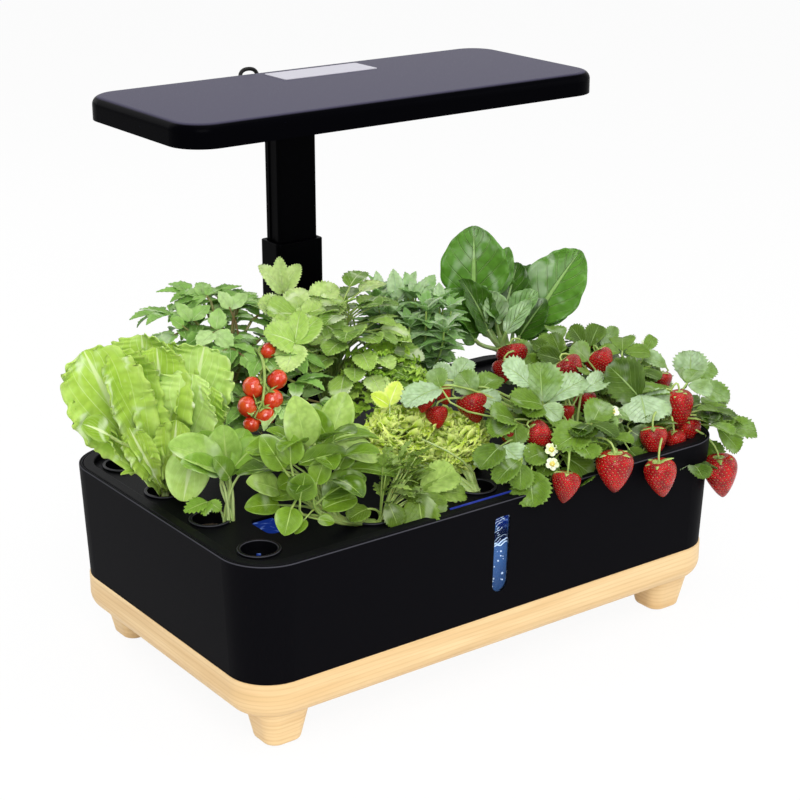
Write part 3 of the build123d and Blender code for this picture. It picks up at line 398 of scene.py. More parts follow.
@dataclass(frozen=True)
class Leafage:
    """A leaf's skin: veins on the blade's own UV map, a tone that varies from leaf to leaf, partly as painted
    light and shade.
    """

    name: str
    fresh_and_lit: Colour
    body: Colour
    deep: Colour
    rib: Colour
    veins: Veins = Veins.FINE
    rib_width: float = 0.05
    gloss: Pair = (0.32, 0.5)
    relief: float = 0.5
    edge: float = 0.0
    sheen: float = 0.0
    painted_highlights: float = 0.0
    raised: float = -0.6
    cells: float = 330.0
    shine: float = 0.12

    def make(self) -> bpy.types.Material:
        """Wire the material."""
        g = Graph(self.name)
        count, slope, width = self.veins.value
        across, along = g.leaf_map()
        side = g.sum("ABSOLUTE", g.sum("SUBTRACT", g.sum("MULTIPLY", across, 2.0), 1.0))
        slanted = g.sum("SUBTRACT", along, g.sum("MULTIPLY", side, slope))
        phase = g.sum("FRACT", g.sum("MULTIPLY", slanted, count))
        offset = g.sum("ABSOLUTE", g.sum("SUBTRACT", phase, 0.5))
        faded = g.band(side, 0.35, 0.95, 1.0, 0.15)
        lateral = g.sum("MULTIPLY", g.band(offset, 0.0, width, 1.0, 0.0), faded)
        taper = g.sum("MULTIPLY", g.band(along, 0.0, 1.0, 1.6, 0.35), self.rib_width)
        midrib = g.band(g.sum("DIVIDE", side, taper), 0.4, 1.1, 1.0, 0.0)
        vein = g.sum("MAXIMUM", g.sum("MULTIPLY", lateral, 0.6), midrib)
        leaf = g.node("Attribute", attribute_name="tint").outputs["Fac"]
        cloud = g.noise(g.place(), 85, 3)
        blister = g.cells(self.cells, True)
        share = g.sum("ADD", g.sum("MULTIPLY", cloud, 0.45), g.sum("MULTIPLY", leaf, 0.8))
        # From the fresh and lit end through the body to the deep end: each leaf's tint sets its place, partly
        # as painted light and shade.
        tone = g.mix(g.band(share, 0.14, 0.52), self.fresh_and_lit, self.body)
        tone = g.mix(g.band(share, 0.5, 1.1), tone, self.deep)
        # Painted shade in the creases between the blisters.
        tone = g.mix(g.sum("MULTIPLY", g.band(blister, 0.25, 0.7), 0.22), tone, self.deep)
        # A paler rim, partly the leaf's own margin and partly a painted highlight.
        if self.edge:
            tone = g.mix(g.sum("MULTIPLY", g.band(side, 0.55, 1.0), self.edge), tone, self.rib)
        tone = g.mix(g.sum("MULTIPLY", vein, 0.8), tone, self.rib)
        # Painted highlight patches, nearly white.
        if self.painted_highlights:
            highlight_patch = g.band(g.noise(g.place((1, 1, 0.8)), 42, 2, 0.6), 0.56, 0.70, 0.0, self.painted_highlights)
            tone = g.mix(highlight_patch, tone, tuple(0.45 + 0.55 * c for c in self.fresh_and_lit))
        height = g.sum("ADD", g.sum("MULTIPLY", blister, -0.35), g.sum("MULTIPLY", vein, self.raised))
        return g.finish(Base_Color=tone, Roughness=g.band(cloud, *MIDDLE_TONES, *self.gloss),
                        Normal=g.bump(height, self.relief), Specular_IOR_Level=self.shine,
                        Subsurface_Weight=0.12, Subsurface_Radius=(0.6, 1.0, 0.25), Subsurface_Scale=SKIN_DEPTH,
                        Coat_Weight=self.sheen, Coat_Roughness=0.3)


@dataclass(frozen=True)
class Stalk:
    """A stem's skin: streaks along it and a slow change of tone."""

    name: str
    young: Colour
    old: Colour

    def make(self) -> bpy.types.Material:
        """Wire the material."""
        g = Graph(self.name)
        cloud = g.noise(g.place((1, 1, 0.4)), 70, 2)
        streak = g.noise(g.place((700, 700, 40)), 1.0, 2)
        tone = g.mix(g.band(cloud, 0.35, 0.7), self.young, self.old)
        tone = g.mix(g.sum("MULTIPLY", streak, 0.25), tone, self.old)
        return g.finish(Base_Color=tone, Roughness=g.band(streak, *MIDDLE_TONES, 0.35, 0.5),
                        Normal=g.bump(streak, 0.08), Subsurface_Weight=0.1, Subsurface_Scale=SKIN_DEPTH)


@dataclass(frozen=True)
class BerrySkin:
    """A strawberry's skin: seeds in staggered rows on the berry's own UV map, each in a dimple."""

    name: str = "strawberry_skin"
    red: Colour = (0.52, 0.008, 0.008)
    dark: Colour = (0.20, 0.002, 0.004)
    seed: Colour = (0.74, 0.36, 0.13)
    rows: float = 19.0
    seeds_in_row: float = 24.0

    def make(self) -> bpy.types.Material:
        """Wire the material."""
        g = Graph(self.name)
        across, along = g.leaf_map()
        row = g.sum("MULTIPLY", along, self.rows)
        turn = g.sum("ADD", g.sum("MULTIPLY", across, self.seeds_in_row), g.sum("MULTIPLY", row, 0.5))
        grid = g.node("CombineXYZ", {0: turn, 1: row, 2: 0.0}).outputs[0]
        inputs = {"Vector": grid, "Scale": 1.0, "Randomness": 0.22}
        gap = g.node("TexVoronoi", inputs, voronoi_dimensions="2D").outputs["Distance"]
        seed = g.band(gap, 0.08, 0.15, 1.0, 0.0)
        cloud = g.noise(g.place(), 120, 2)
        tone = g.mix(g.band(cloud, 0.3, 0.75), self.red, self.dark)
        # Painted shade in the dimple round each seed.
        tone = g.mix(g.band(gap, 0.12, 0.34, 0.55, 0.0), tone, self.dark)
        tone = g.mix(seed, tone, self.seed)
        height = g.sum("ADD", g.band(gap, 0.08, 0.45), g.sum("MULTIPLY", seed, 0.5))
        return g.finish(Base_Color=tone, Roughness=g.band(cloud, *MIDDLE_TONES, 0.2, 0.3),
                        Normal=g.bump(height, 0.7), Specular_IOR_Level=0.22, Subsurface_Weight=0.06,
                        Subsurface_Scale=0.003, Coat_Weight=0.12, Coat_Roughness=0.12)


@dataclass(frozen=True)
class FruitSkin:
    """Smooth taut fruit skin."""

    name: str
    ripe: Colour
    light: Colour

    def make(self) -> bpy.types.Material:
        """Wire the material."""
        g = Graph(self.name)
        cloud = g.noise(g.place(), 90, 2)
        fine = g.noise(g.place(), 1100, 2)
        return g.finish(Base_Color=g.mix(g.band(cloud, 0.4, 0.75), self.ripe, self.light),
                        Roughness=g.band(fine, *MIDDLE_TONES, 0.14, 0.22), Normal=g.bump(fine, 0.015),
                        Subsurface_Weight=0.1, Subsurface_Scale=0.003, Coat_Weight=0.5, Coat_Roughness=0.08)


@dataclass(frozen=True)
class Foam:
    """Dark porous grow sponge."""

    name: str = "grow_sponge"
    peat: Colour = (0.045, 0.028, 0.016)
    fibre: Colour = (0.16, 0.105, 0.06)
    pore_shade: Colour = (0.012, 0.008, 0.005)

    def make(self) -> bpy.types.Material:
        """Wire the material."""
        g = Graph(self.name)
        cells = g.cells(620.0)
        fibre = g.noise(g.place(), 260, 4)
        tone = g.mix(g.band(fibre, *MIDDLE_TONES), self.peat, self.fibre)
        # Painted shade in the pores.
        return g.finish(Base_Color=g.mix(g.band(cells, 0.1, 0.6, 0.7, 0.0), tone, self.pore_shade),
                        Roughness=g.band(fibre, *MOST_TONES, 0.82, 0.97), Normal=g.bump(cells, 0.8))


@dataclass(frozen=True)
class Ground:
    """The studio floor: white to the camera and to glossy and clear things, with the object's shadow kept."""

    name: str = "studio_floor"
    glow: float = 0.93
    dim: Colour = (0.90, 0.90, 0.90)
    paper: Colour = (0.93, 0.93, 0.93)

    def make(self) -> bpy.types.Material:
        """Wire the material."""
        g = Graph(self.name)
        tone = g.mix(g.noise(g.place(), 40, 3), self.dim, self.paper)
        matt = g.node("BsdfDiffuse", {"Color": tone}).outputs[0]
        white = g.node("Emission", {"Color": WHITE, "Strength": 1.0}).outputs[0]
        g.show(g.sum("MULTIPLY", g.seen(), self.glow), matt, white)
        return g.owner


# ---------------------------------------------------------------- modelling helpers
def select_only(*pieces: bpy.types.Object) -> None:
    """Select these objects and nothing else, the first one active."""
    bpy.ops.object.select_all(action="DESELECT")
    for piece in pieces:
        piece.select_set(True)
    bpy.context.view_layer.objects.active = pieces[0]


def edit(piece: bpy.types.Object, mode: str = "VERT") -> None:
    """Enter edit mode on one object with everything selected."""
    select_only(piece)
    bpy.ops.object.mode_set(mode="EDIT")
    bpy.ops.mesh.select_mode(type=mode)
    bpy.ops.mesh.select_all(action="SELECT")


def leave_edit() -> None:
    """Back to object mode."""
    bpy.ops.object.mode_set(mode="OBJECT")


def apply_modifier(piece: bpy.types.Object, kind: str, **settings: object) -> None:
    """Add a modifier and apply it at once."""
    select_only(piece)
    bpy.ops.object.modifier_add(type=kind)
    modifier = piece.modifiers[-1]
    for key, value in settings.items():
        setattr(modifier, key, value)
    bpy.ops.object.modifier_apply(modifier=modifier.name)


def add_object(name: str, data: bpy.types.ID) -> bpy.types.Object:
    """Put a mesh, curve, camera or light into the scene as an object."""
    piece = bpy.data.objects.new(name, data)
    bpy.context.scene.collection.objects.link(piece)
    return piece


def new_wire(name: str, radius: float, sides: int = 1) -> bpy.types.Curve:
    """Start a round wire with capped ends.

    Args:
        name: the curve's name.
        radius: its radius in metres where a point's own radius is 1.
        sides: how finely its round section is divided.

    Returns:
        The curve, still without a run.
    """
    line = bpy.data.curves.new(name, "CURVE")
    line.dimensions = "3D"
    line.bevel_depth = radius
    line.bevel_resolution = sides
    line.use_fill_caps = True
    return line


def add_run(line: bpy.types.Curve, points: list, radii: list[float], kind: str = "POLY") -> bpy.types.Spline:
    """Lead a wire through points in metres, with its radius at each as a multiple of the wire's own."""
    run = line.splines.new(kind)
    run.points.add(len(points) - 1)
    for slot, point, radius in zip(run.points, points, radii):
        slot.co = (*point, 1.0)
        slot.radius = radius
    return run


def wire_mesh(line: bpy.types.Curve) -> bpy.types.Object:
    """An object whose mesh is the wire's surface."""
    piece = add_object(line.name, line)
    select_only(piece)
    bpy.ops.object.convert(target="MESH")
    return piece


def join(name: str, parts: list[bpy.types.Object], finish: bpy.types.Material) -> bpy.types.Object:
    """Join objects into one piece with one finish."""
    select_only(*parts)
    if len(parts) > 1:
        bpy.ops.object.join()
    piece = bpy.context.object
    piece.name = name
    piece.data.materials.clear()
    piece.data.materials.append(finish)
    return piece


def settle(piece: bpy.types.Object) -> None:
    """Move an object's place into its mesh."""
    select_only(piece)
    bpy.ops.object.transform_apply(location=True, rotation=True, scale=True)


def take_mesh(piece: bpy.types.Object) -> bpy.types.Mesh:
    """Keep an object's mesh as a pattern to copy, and remove the object."""
    mesh = piece.data
    mesh.shade_smooth()
    bpy.data.objects.remove(piece)
    return mesh


def points_of(mesh: bpy.types.Mesh) -> np.ndarray:
    """A mesh's points as rows of three numbers."""
    rows = np.empty(len(mesh.vertices) * 3, np.float32)
    mesh.vertices.foreach_get("co", rows)
    return rows.reshape(-1, 3).astype(float)


def put_points(mesh: bpy.types.Mesh, rows: np.ndarray) -> None:
    """Write a mesh's points."""
    mesh.vertices.foreach_set("co", rows.astype(np.float32).ravel())
    mesh.update()


def heading_frame(heading: float, rise: float, roll: float = 0.0) -> Matrix:
    """A leaf's frame: its columns point across it, along it and out of its upper face.

    Args:
        heading: compass direction in degrees, from +X towards +Y.
        rise: degrees above level.
        roll: turn about its own length in degrees.

    Returns:
        The rotation as a 3 by 3 matrix.
    """
    return (
        Matrix.Rotation(math.radians(heading - 90), 3, "Z")
        @ Matrix.Rotation(math.radians(rise), 3, "X")
        @ Matrix.Rotation(math.radians(roll), 3, "Y")
    )


def turned(frame: Matrix, degrees: float, axis: str = "Z") -> Matrix:
    """A frame turned about one of its own axes."""
    return frame @ Matrix.Rotation(math.radians(degrees), 3, axis)


def ring_offset(heading: float, wide: float, deep: float, lift: float) -> Vector:
    """A place on an oval ring.

    Args:
        heading: compass direction in degrees, from +X towards +Y.
        wide: the ring's half width along X.
        deep: its half width along Y.
        lift: the place's height.

    Returns:
        The offset from the ring's middle.
    """
    way = math.radians(heading)
    return Vector((wide * math.cos(way), deep * math.sin(way), lift))


def curve_through(points: list[Point], steps: int = 9) -> list[Vector]:
    """Even points on one smooth curve with the given control points.

    Args:
        points: the control points.
        steps: how many points to return.

    Returns:
        The points.
    """
    hull = [Vector(p) for p in points]
    result = []
    for k in range(steps):
        t = k / (steps - 1)
        row = hull
        while len(row) > 1:
            row = [a.lerp(b, t) for a, b in zip(row, row[1:])]
        result.append(row[0])
    return result


# A leaf's foot, tip, width and tone; the tone is partly painted light and shade, paler for lit leaves and
# deeper for shaded ones.
Row = tuple[Point, Point, float, float]


@dataclass(frozen=True)
class Blade:
    """A leaf's blade, one unit long and wide, from which all leaves of its kind are copied.

    The outline rises from its foot to its widest place and falls to its tip. Teeth, lobes, ruffles, frills
    and pleats shape its edge and surface, and offset is the phase between its two sides.
    """

    widest: float = 0.45
    foot: float = 0.7
    tip: float = 0.6
    neck: float = 0.05
    teeth: float = 0.0
    tooth_rows: int = 2
    lobes: int = 0
    lobe_depth: float = 0.0
    ruffle: float = 0.0
    waves: float = 3.0
    frill: float = 0.0
    frills: float = 16.0
    wild: float = 0.0
    flare: float = 0.0
    seed: float = 0.0
    pleat: float = 0.0
    pleats: float = 6.0
    cup: float = 0.0
    crowd: float = 1.5
    offset: float = 1.7
    across: int = 8
    along: int = 16
    thickness: float = 0.01

    def outline(self, along: np.ndarray) -> np.ndarray:
        """Half the width at each share of the length."""
        rising = np.sin(np.pi / 2 * np.clip(along / self.widest, 0, 1)) ** self.foot
        falling = np.cos(np.pi / 2 * np.clip((along - self.widest) / (1 - self.widest), 0, 1)) ** self.tip
        lobed = 1 - self.lobe_depth * (0.5 - 0.5 * np.cos(2 * np.pi * self.lobes * along))
        return 0.5 * np.maximum(np.where(along < self.widest, rising, falling) * lobed, self.neck)

    def model(self) -> bpy.types.Mesh:
        """Model the blade from a grid, with rows that crowd towards its tip, and give it its thickness."""
        bpy.ops.mesh.primitive_grid_add(x_subdivisions=self.across, y_subdivisions=self.along, size=1.0)
        piece = bpy.context.object
        edit(piece)
        bpy.ops.transform.translate(value=(0, 0.5, 0))
        leave_edit()
        rows = points_of(piece.data)
        side, step = rows[:, 0] * 2, rows[:, 1].copy()
        along = 1 - (1 - step) ** self.crowd
        half = self.outline(along)
        rim = np.abs(side) ** 5
        notch = np.rint(step * self.along) % self.tooth_rows == 0
        bite = self.teeth * rim * np.where(notch, -1.1, 0.7) * np.clip(4 * along, 0, 1)
        start = np.where(side < 0, self.offset, 0.0) + self.seed
        drift = self.wild * (1.9 * np.sin(11 * step + start) + 1.2 * np.sin(27 * step + 2 * start))
        swell = 1 + 0.5 * self.wild * np.sin(19 * step + 3 * start)
        wave = 2 * np.pi * self.waves * step + start + 0.4 * drift
        crimp = 2 * np.pi * self.frills * step + 1.3 * start + drift
        sway = 0.7 * self.ruffle * np.sin(1.6 * wave) + 1.6 * self.frill * np.sin(crimp + 1.2)
        ridge = np.abs(side) * np.cos(2 * np.pi * self.pleats * (step - 0.4 * np.abs(side)))
        fold = side**2 * np.sin(wave) + 0.4 * rim * np.sin(2.7 * wave + 0.6)
        crinkle = swell * (np.abs(side) ** 3 * np.sin(crimp) + 0.35 * rim * np.sin(2.3 * crimp + start))
        rows[:, 0] = side * half * (1 + bite + rim * sway)
        rows[:, 1] = along + bite * 0.25 + self.flare * rim * step * swell * np.sin(crimp + 0.4)
        rows[:, 2] = np.clip(5 * along, 0, 1) * (self.ruffle * fold + self.frill * crinkle + self.pleat * ridge)
        rows[:, 2] += self.cup * side**2 * half
        put_points(piece.data, rows)
        apply_modifier(piece, "SOLIDIFY", thickness=self.thickness, offset=0.0)
        return take_mesh(piece)


class Plant:
    """One plant in its pod, gathered as groups of leaves, stems and fruit that each become one piece."""

    label: str = ""
    slot: str = ""
    dress: dict[str, str] = {}
    pod: int = 1
    crown: Point = (0.0, 0.0, -6.0)
    arch: tuple[Point, ...] = ()
    light: Point = (-0.42, -0.55, 0.72)
    front: Point = (-0.555, -0.758, 0.342)
    shown: list[tuple[Point, float]] = []

    def __init__(self) -> None:
        """Find the pod's mouth in the frame and start the groups."""
        low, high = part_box(f"basket_{self.pod:02d}")
        self.mouth = Vector(((low.x + high.x) / 2, (low.y + high.y) / 2, high.z)) / MM
        self.dice = random.Random(100 + self.pod)
        self.groups: dict[str, list[bpy.types.Object]] = {}
        self.runs: dict[str, list[tuple[list[Vector], list[float]]]] = {}

    def about(self, middle: float, spread: float) -> float:
        """A number near middle, at most spread away."""
        return middle + self.dice.uniform(-spread, spread)

    def point(self, x: float, y: float, z: float) -> Vector:
        """A point in the frame from its place beside and above the pod's mouth, in millimetres."""
        return self.mouth + Vector((x, y, z))

    def keep(self, group: str, mesh: bpy.types.Mesh) -> None:
        """Put a finished mesh into a group."""
        self.groups.setdefault(group, []).append(add_object(f"{self.label}_{group}", mesh))

    def leaf(
        self,
        group: str,
        blade: bpy.types.Mesh,
        foot: Vector,
        frame: Matrix,
        length: float,
        width: float,
        droop: float = 30.0,
        fold: float = 0.0,
        twist: float = 0.0,
        tint: float | None = None,
    ) -> None:
        """Copy a blade, bend it and put it in place.

        Args:
            group: the group of pieces it belongs to.
            blade: the pattern.
            foot: where the blade starts, in millimetres in the frame.
            frame: its directions at the foot.
            length: its length in millimetres.
            width: its width in millimetres.
            droop: how far its tip bends down, in degrees.
            fold: how far its sides are raised, in degrees.
            twist: turn of its tip about its length, in degrees.
            tint: its tone from 0, fresh and lit, to 1, deep and shaded, partly as painted light and shade;
                random if left out.
        """
        mesh = blade.copy()
        rows = points_of(mesh) * (width, length, length)
        share = rows[:, 1] / length
        rows[:, 2] += np.abs(rows[:, 0]) * math.tan(math.radians(fold))
        turn = np.radians(twist) * share
        x = rows[:, 0] * np.cos(turn) - rows[:, 2] * np.sin(turn)
        z = rows[:, 0] * np.sin(turn) + rows[:, 2] * np.cos(turn)
        bend = math.radians(droop if abs(droop) > 0.1 else 0.1)
        angle = bend * share
        radius = length / bend
        y = radius * np.sin(angle) + z * np.sin(angle)
        z = radius * (np.cos(angle) - 1) + z * np.cos(angle)
        rows = np.column_stack([x, y, z]) @ np.array(frame).T + np.array(foot)
        put_points(mesh, rows * MM)
        tone = mesh.attributes.new("tint", "FLOAT", "POINT")
        value = self.dice.random() if tint is None else tint
        tone.data.foreach_set("value", np.full(len(mesh.vertices), value, np.float32))
        self.keep(group, mesh)

    def stem(self, group: str, points: list[Point], thick: float, thin: float, steps: int = 9) -> None:
        """Add a tapering stem along one smooth curve of control points."""
        line = curve_through(points, steps)
        widths = [thick + (thin - thick) * k / (steps - 1) for k in range(steps)]
        self.runs.setdefault(group, []).append((line, widths))

    def stalk(self, foot: Vector, ahead: Vector, thick: float, thin: float) -> None:
        """Add the stalk from the plant's crown to a blade's foot, which it meets in the blade's direction."""
        crown = self.point(*self.crown) + Vector((self.about(0, 4), self.about(0, 4), 0))
        reach = (foot - crown).length
        bow = [crown + Vector(way) for way in self.arch] or [crown + Vector((0, 0, 0.45 * reach))]
        self.stem("stems", [crown, *bow, foot - ahead * 0.32 * reach, foot + ahead * 2], thick, thin)

    def covers(self, spot: Vector, size: float) -> bool:
        """Whether something of this size would stand in front of what is to stay in view."""
        front = Vector(self.front)
        for place, radius in self.shown:
            gap = spot - Vector(place)
            ahead = gap.dot(front)
            if ahead > -0.5 * radius and (gap - front * ahead).length < radius + size:
                return True
        return False

    def leaves(
        self,
        blade: bpy.types.Mesh,
        rows: list[Row],
        droop: float = 24.0,
        fold: float = 6.0,
        roll: float = 8.0,
        stalk: Pair | None = (1.3, 0.8),
        group: str = "leaves",
    ) -> None:
        """Set each blade from its foot to its tip, upper face to the light, with a stalk for each new foot.

        Args:
            blade: the pattern.
            rows: foot and tip in the frame, width and tone of each leaf, in millimetres; tones are partly
                painted light and shade.
            droop: how far the tips bend down, in degrees.
            fold: how far the sides are raised, in degrees.
            roll: the most that a blade turns about its length, in degrees.
            stalk: radius of the stalks at the crown and at the blade; None where blades start at the crown.
            group: the group of pieces they belong to.
        """
        last = Vector((0, 0, 0))
        for foot, tip, width, tint in rows:
            start = Vector(foot)
            span = Vector(tip) - start
            chord = span.normalized()
            face = Vector(self.light)
            face = (face - chord * chord.dot(face)).normalized()
            face = Matrix.Rotation(math.radians(self.about(0, roll)), 3, chord) @ face
            half = math.radians(self.about(droop, droop * 0.35)) / 2
            ahead = chord * math.cos(half) + face * math.sin(half)
            out = face * math.cos(half) - chord * math.sin(half)
            frame = Matrix((ahead.cross(out), ahead, out)).transposed()
            length = span.length * half / math.sin(half)
            bend = math.degrees(2 * half)
            self.leaf(group, blade, start, frame, length, width, bend, fold, self.about(0, 8), tint)
            if stalk and (start - last).length > 9:
                self.stalk(start, ahead, *stalk)
                last = start

    def canopy(
        self,
        blade: bpy.types.Mesh,
        count: int,
        middle: Point,
        spread: Pair,
        drop: float,
        size: Pair,
        tints: Pair,
        rise: Pair,
        group: str = "leaves",
        stalk: Pair | None = (1.1, 0.7),
    ) -> None:
        """Fill a dome with leaves that point outwards from its middle.

        Args:
            blade: the pattern.
            count: how many leaves.
            middle: the dome's top in the frame.
            spread: the dome's half width along X and Y.
            drop: how far its rim lies below its top.
            size: length and width of a leaf.
            tints: the palest and the deepest tone.
            rise: degrees above level at the top and at the rim.
            group: the group of pieces they belong to.
            stalk: radius of the stalks at the crown and at the blade, or None.
        """
        for k in range(count):
            heading = GOLDEN_TURN * k + 30 * self.pod
            share = math.sqrt((k + 0.5) / count)
            foot = Vector(middle) + ring_offset(heading, spread[0] * share, spread[1] * share,
                                                -drop * self.about(share**2, 0.12))
            lift = self.about(rise[0] + (rise[1] - rise[0]) * share, 12)
            frame = heading_frame(heading, lift, self.about(0, 12))
            grown = self.about(1, 0.15)
            if self.covers(foot + frame @ Vector((0, size[0] / 2, 0)), size[1] * 0.35):
                continue
            self.leaf(group, blade, foot, frame, size[0] * grown, size[1] * grown, self.about(34, 14), 6,
                      self.about(0, 12), self.dice.uniform(*tints))
            if stalk:
                self.stalk(foot, frame @ Vector((0, 1, 0)), *stalk)

    def shape(self) -> None:
        """Model the plant's groups."""
        raise NotImplementedError

    def build(self, finishes: dict[str, bpy.types.Material]) -> None:
        """Join each group into one piece, dress it in its finish and let it ride on the pod."""
        self.shape()
        for group, runs in self.runs.items():
            line = new_wire(f"{self.label}_{group}_line", MM)
            for points, widths in runs:
                add_run(line, [point * MM for point in points], widths)
            stems = wire_mesh(line)
            stems.data.shade_smooth()
            self.groups.setdefault(group, []).append(stems)
        for group, parts in self.groups.items():
            piece = join(f"{self.label}_{group}", parts, finishes[self.dress[group]])
            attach(piece, f"pod_{self.pod:02d}")
            if group == "leaves":
                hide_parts(self.label)
            log.info("%s: %d triangles", piece.name, sum(len(f.vertices) - 2 for f in piece.data.polygons))


# ---------------------------------------------------------------- the plants
class LooseLettuce(Plant):
    """Loose pale lettuce that fans out over the corner, with frilled tops and white ribs."""

    label = "lettuce"
    slot = "lettuce_leaf"
    dress = {"leaves": "lettuce_skin", "stems": "pale_stem"}
    pod = 2
    broad_rows: list[Row] = [
        ((-199, 34, 149), (-256, 38, 272), 62, 0.3), ((-195, 38, 148), (-201, 52, 270), 60, 0.25),
        ((-183, 30, 148), (-187, 2, 250), 58, 0.08), ((-187, 34, 148), (-165, 22, 262), 58, 0.12),
        ((-195, 30, 151), (-204, 24, 268), 46, 0.5), ((-202, 30, 153), (-235, 28, 270), 42, 0.55),
        ((-203, 34, 155), (-264, 44, 244), 36, 0.35), ((-188, 42, 148), (-166, 60, 249), 46, 0.6),
        ((-192, 42, 148), (-219, 66, 256), 44, 0.6), ((-193, 26, 150), (-200, 6, 216), 30, 0.45),
        ((-203, 28, 155), (-232, 20, 213), 24, 0.6), ((-190, 28, 150), (-170, 6, 236), 44, 0.3),
        ((-198, 40, 150), (-238, 54, 250), 48, 0.45), ((-194, 34, 150), (-184, 44, 262), 46, 0.4),
    ]
    spoon_rows: list[Row] = [
        ((-180, 14, 188), (-206, -10, 158), 34, 0.05), ((-252, 12, 213), (-273, 12, 227), 21, 0.95),
        ((-215, 28, 170), (-240, 22, 177), 5, 0.5),
    ]

    def shape(self) -> None:
        """Model the frilled fan in three patterns and the smooth small leaves in front of it."""
        for k in range(3):
            broad = Blade(widest=0.76, foot=1.25, tip=0.34, neck=0.12, ruffle=0.036, waves=2.1, frill=0.022,
                          frills=11 + k, wild=1.0, flare=0.022, seed=2.1 * k, cup=0.22, crowd=1.7, across=16,
                          along=96, thickness=0.005).model()
            self.leaves(broad, self.broad_rows[k::3], droop=24, fold=9, roll=20, stalk=None)
        spoon = Blade(widest=0.5, foot=0.6, tip=0.45, neck=0.1, cup=0.15, thickness=0.02).model()
        self.leaves(spoon, self.spoon_rows, droop=30, roll=10, stalk=(2.0, 1.2))


class PakChoi(Plant):
    """Short pale spoon leaves on a sheaf of thin stalks."""

    label = "pak_choi"
    slot = "pale_leaf"
    dress = {"leaves": "pak_skin", "stems": "pale_stem"}
    pod = 3
    crown = (11.0, -9.0, -6.0)
    spoon_rows: list[Row] = [
        ((-186, -36, 187), (-228, -30, 213), 28, 0.12), ((-179, -38, 187), (-156, -42, 204), 22, 0.45),
        ((-178, -28, 186), (-179, -26, 217), 26, 0.2), ((-194, -40, 187), (-226, -44, 204), 18, 0.45),
        ((-176, -42, 183), (-159, -46, 195), 16, 0.55), ((-172, -26, 184), (-158, -22, 208), 22, 0.45),
        ((-182, -22, 186), (-194, -16, 212), 24, 0.5), ((-185, -42, 182), (-199, -44, 202), 16, 0.7),
        ((-184, -30, 180), (-165, -30, 198), 20, 0.75), ((-190, -26, 184), (-212, -14, 206), 22, 0.6),
    ]
    toothed_rows: list[Row] = [
        ((-203, -40, 167), (-226, -46, 167), 12, 0.35), ((-203, -40, 167), (-212, -51, 162), 11, 0.4),
        ((-202, -40, 167), (-196, -47, 161), 10, 0.4),
    ]

    def shape(self) -> None:
        """Model the stalked leaves and the small toothed leaf beside them."""
        spoon = Blade(widest=0.5, foot=0.62, tip=0.5, neck=0.08, cup=0.22, ruffle=0.012, waves=2, across=10,
                      along=20, thickness=0.014).model()
        toothed = Blade(widest=0.5, foot=0.7, tip=0.6, teeth=0.16, along=14, across=6, cup=0.15,
                        thickness=0.02).model()
        self.leaves(spoon, self.spoon_rows, droop=34, roll=12, stalk=(1.25, 0.85))
        self.leaves(toothed, self.toothed_rows, stalk=(0.9, 0.5))


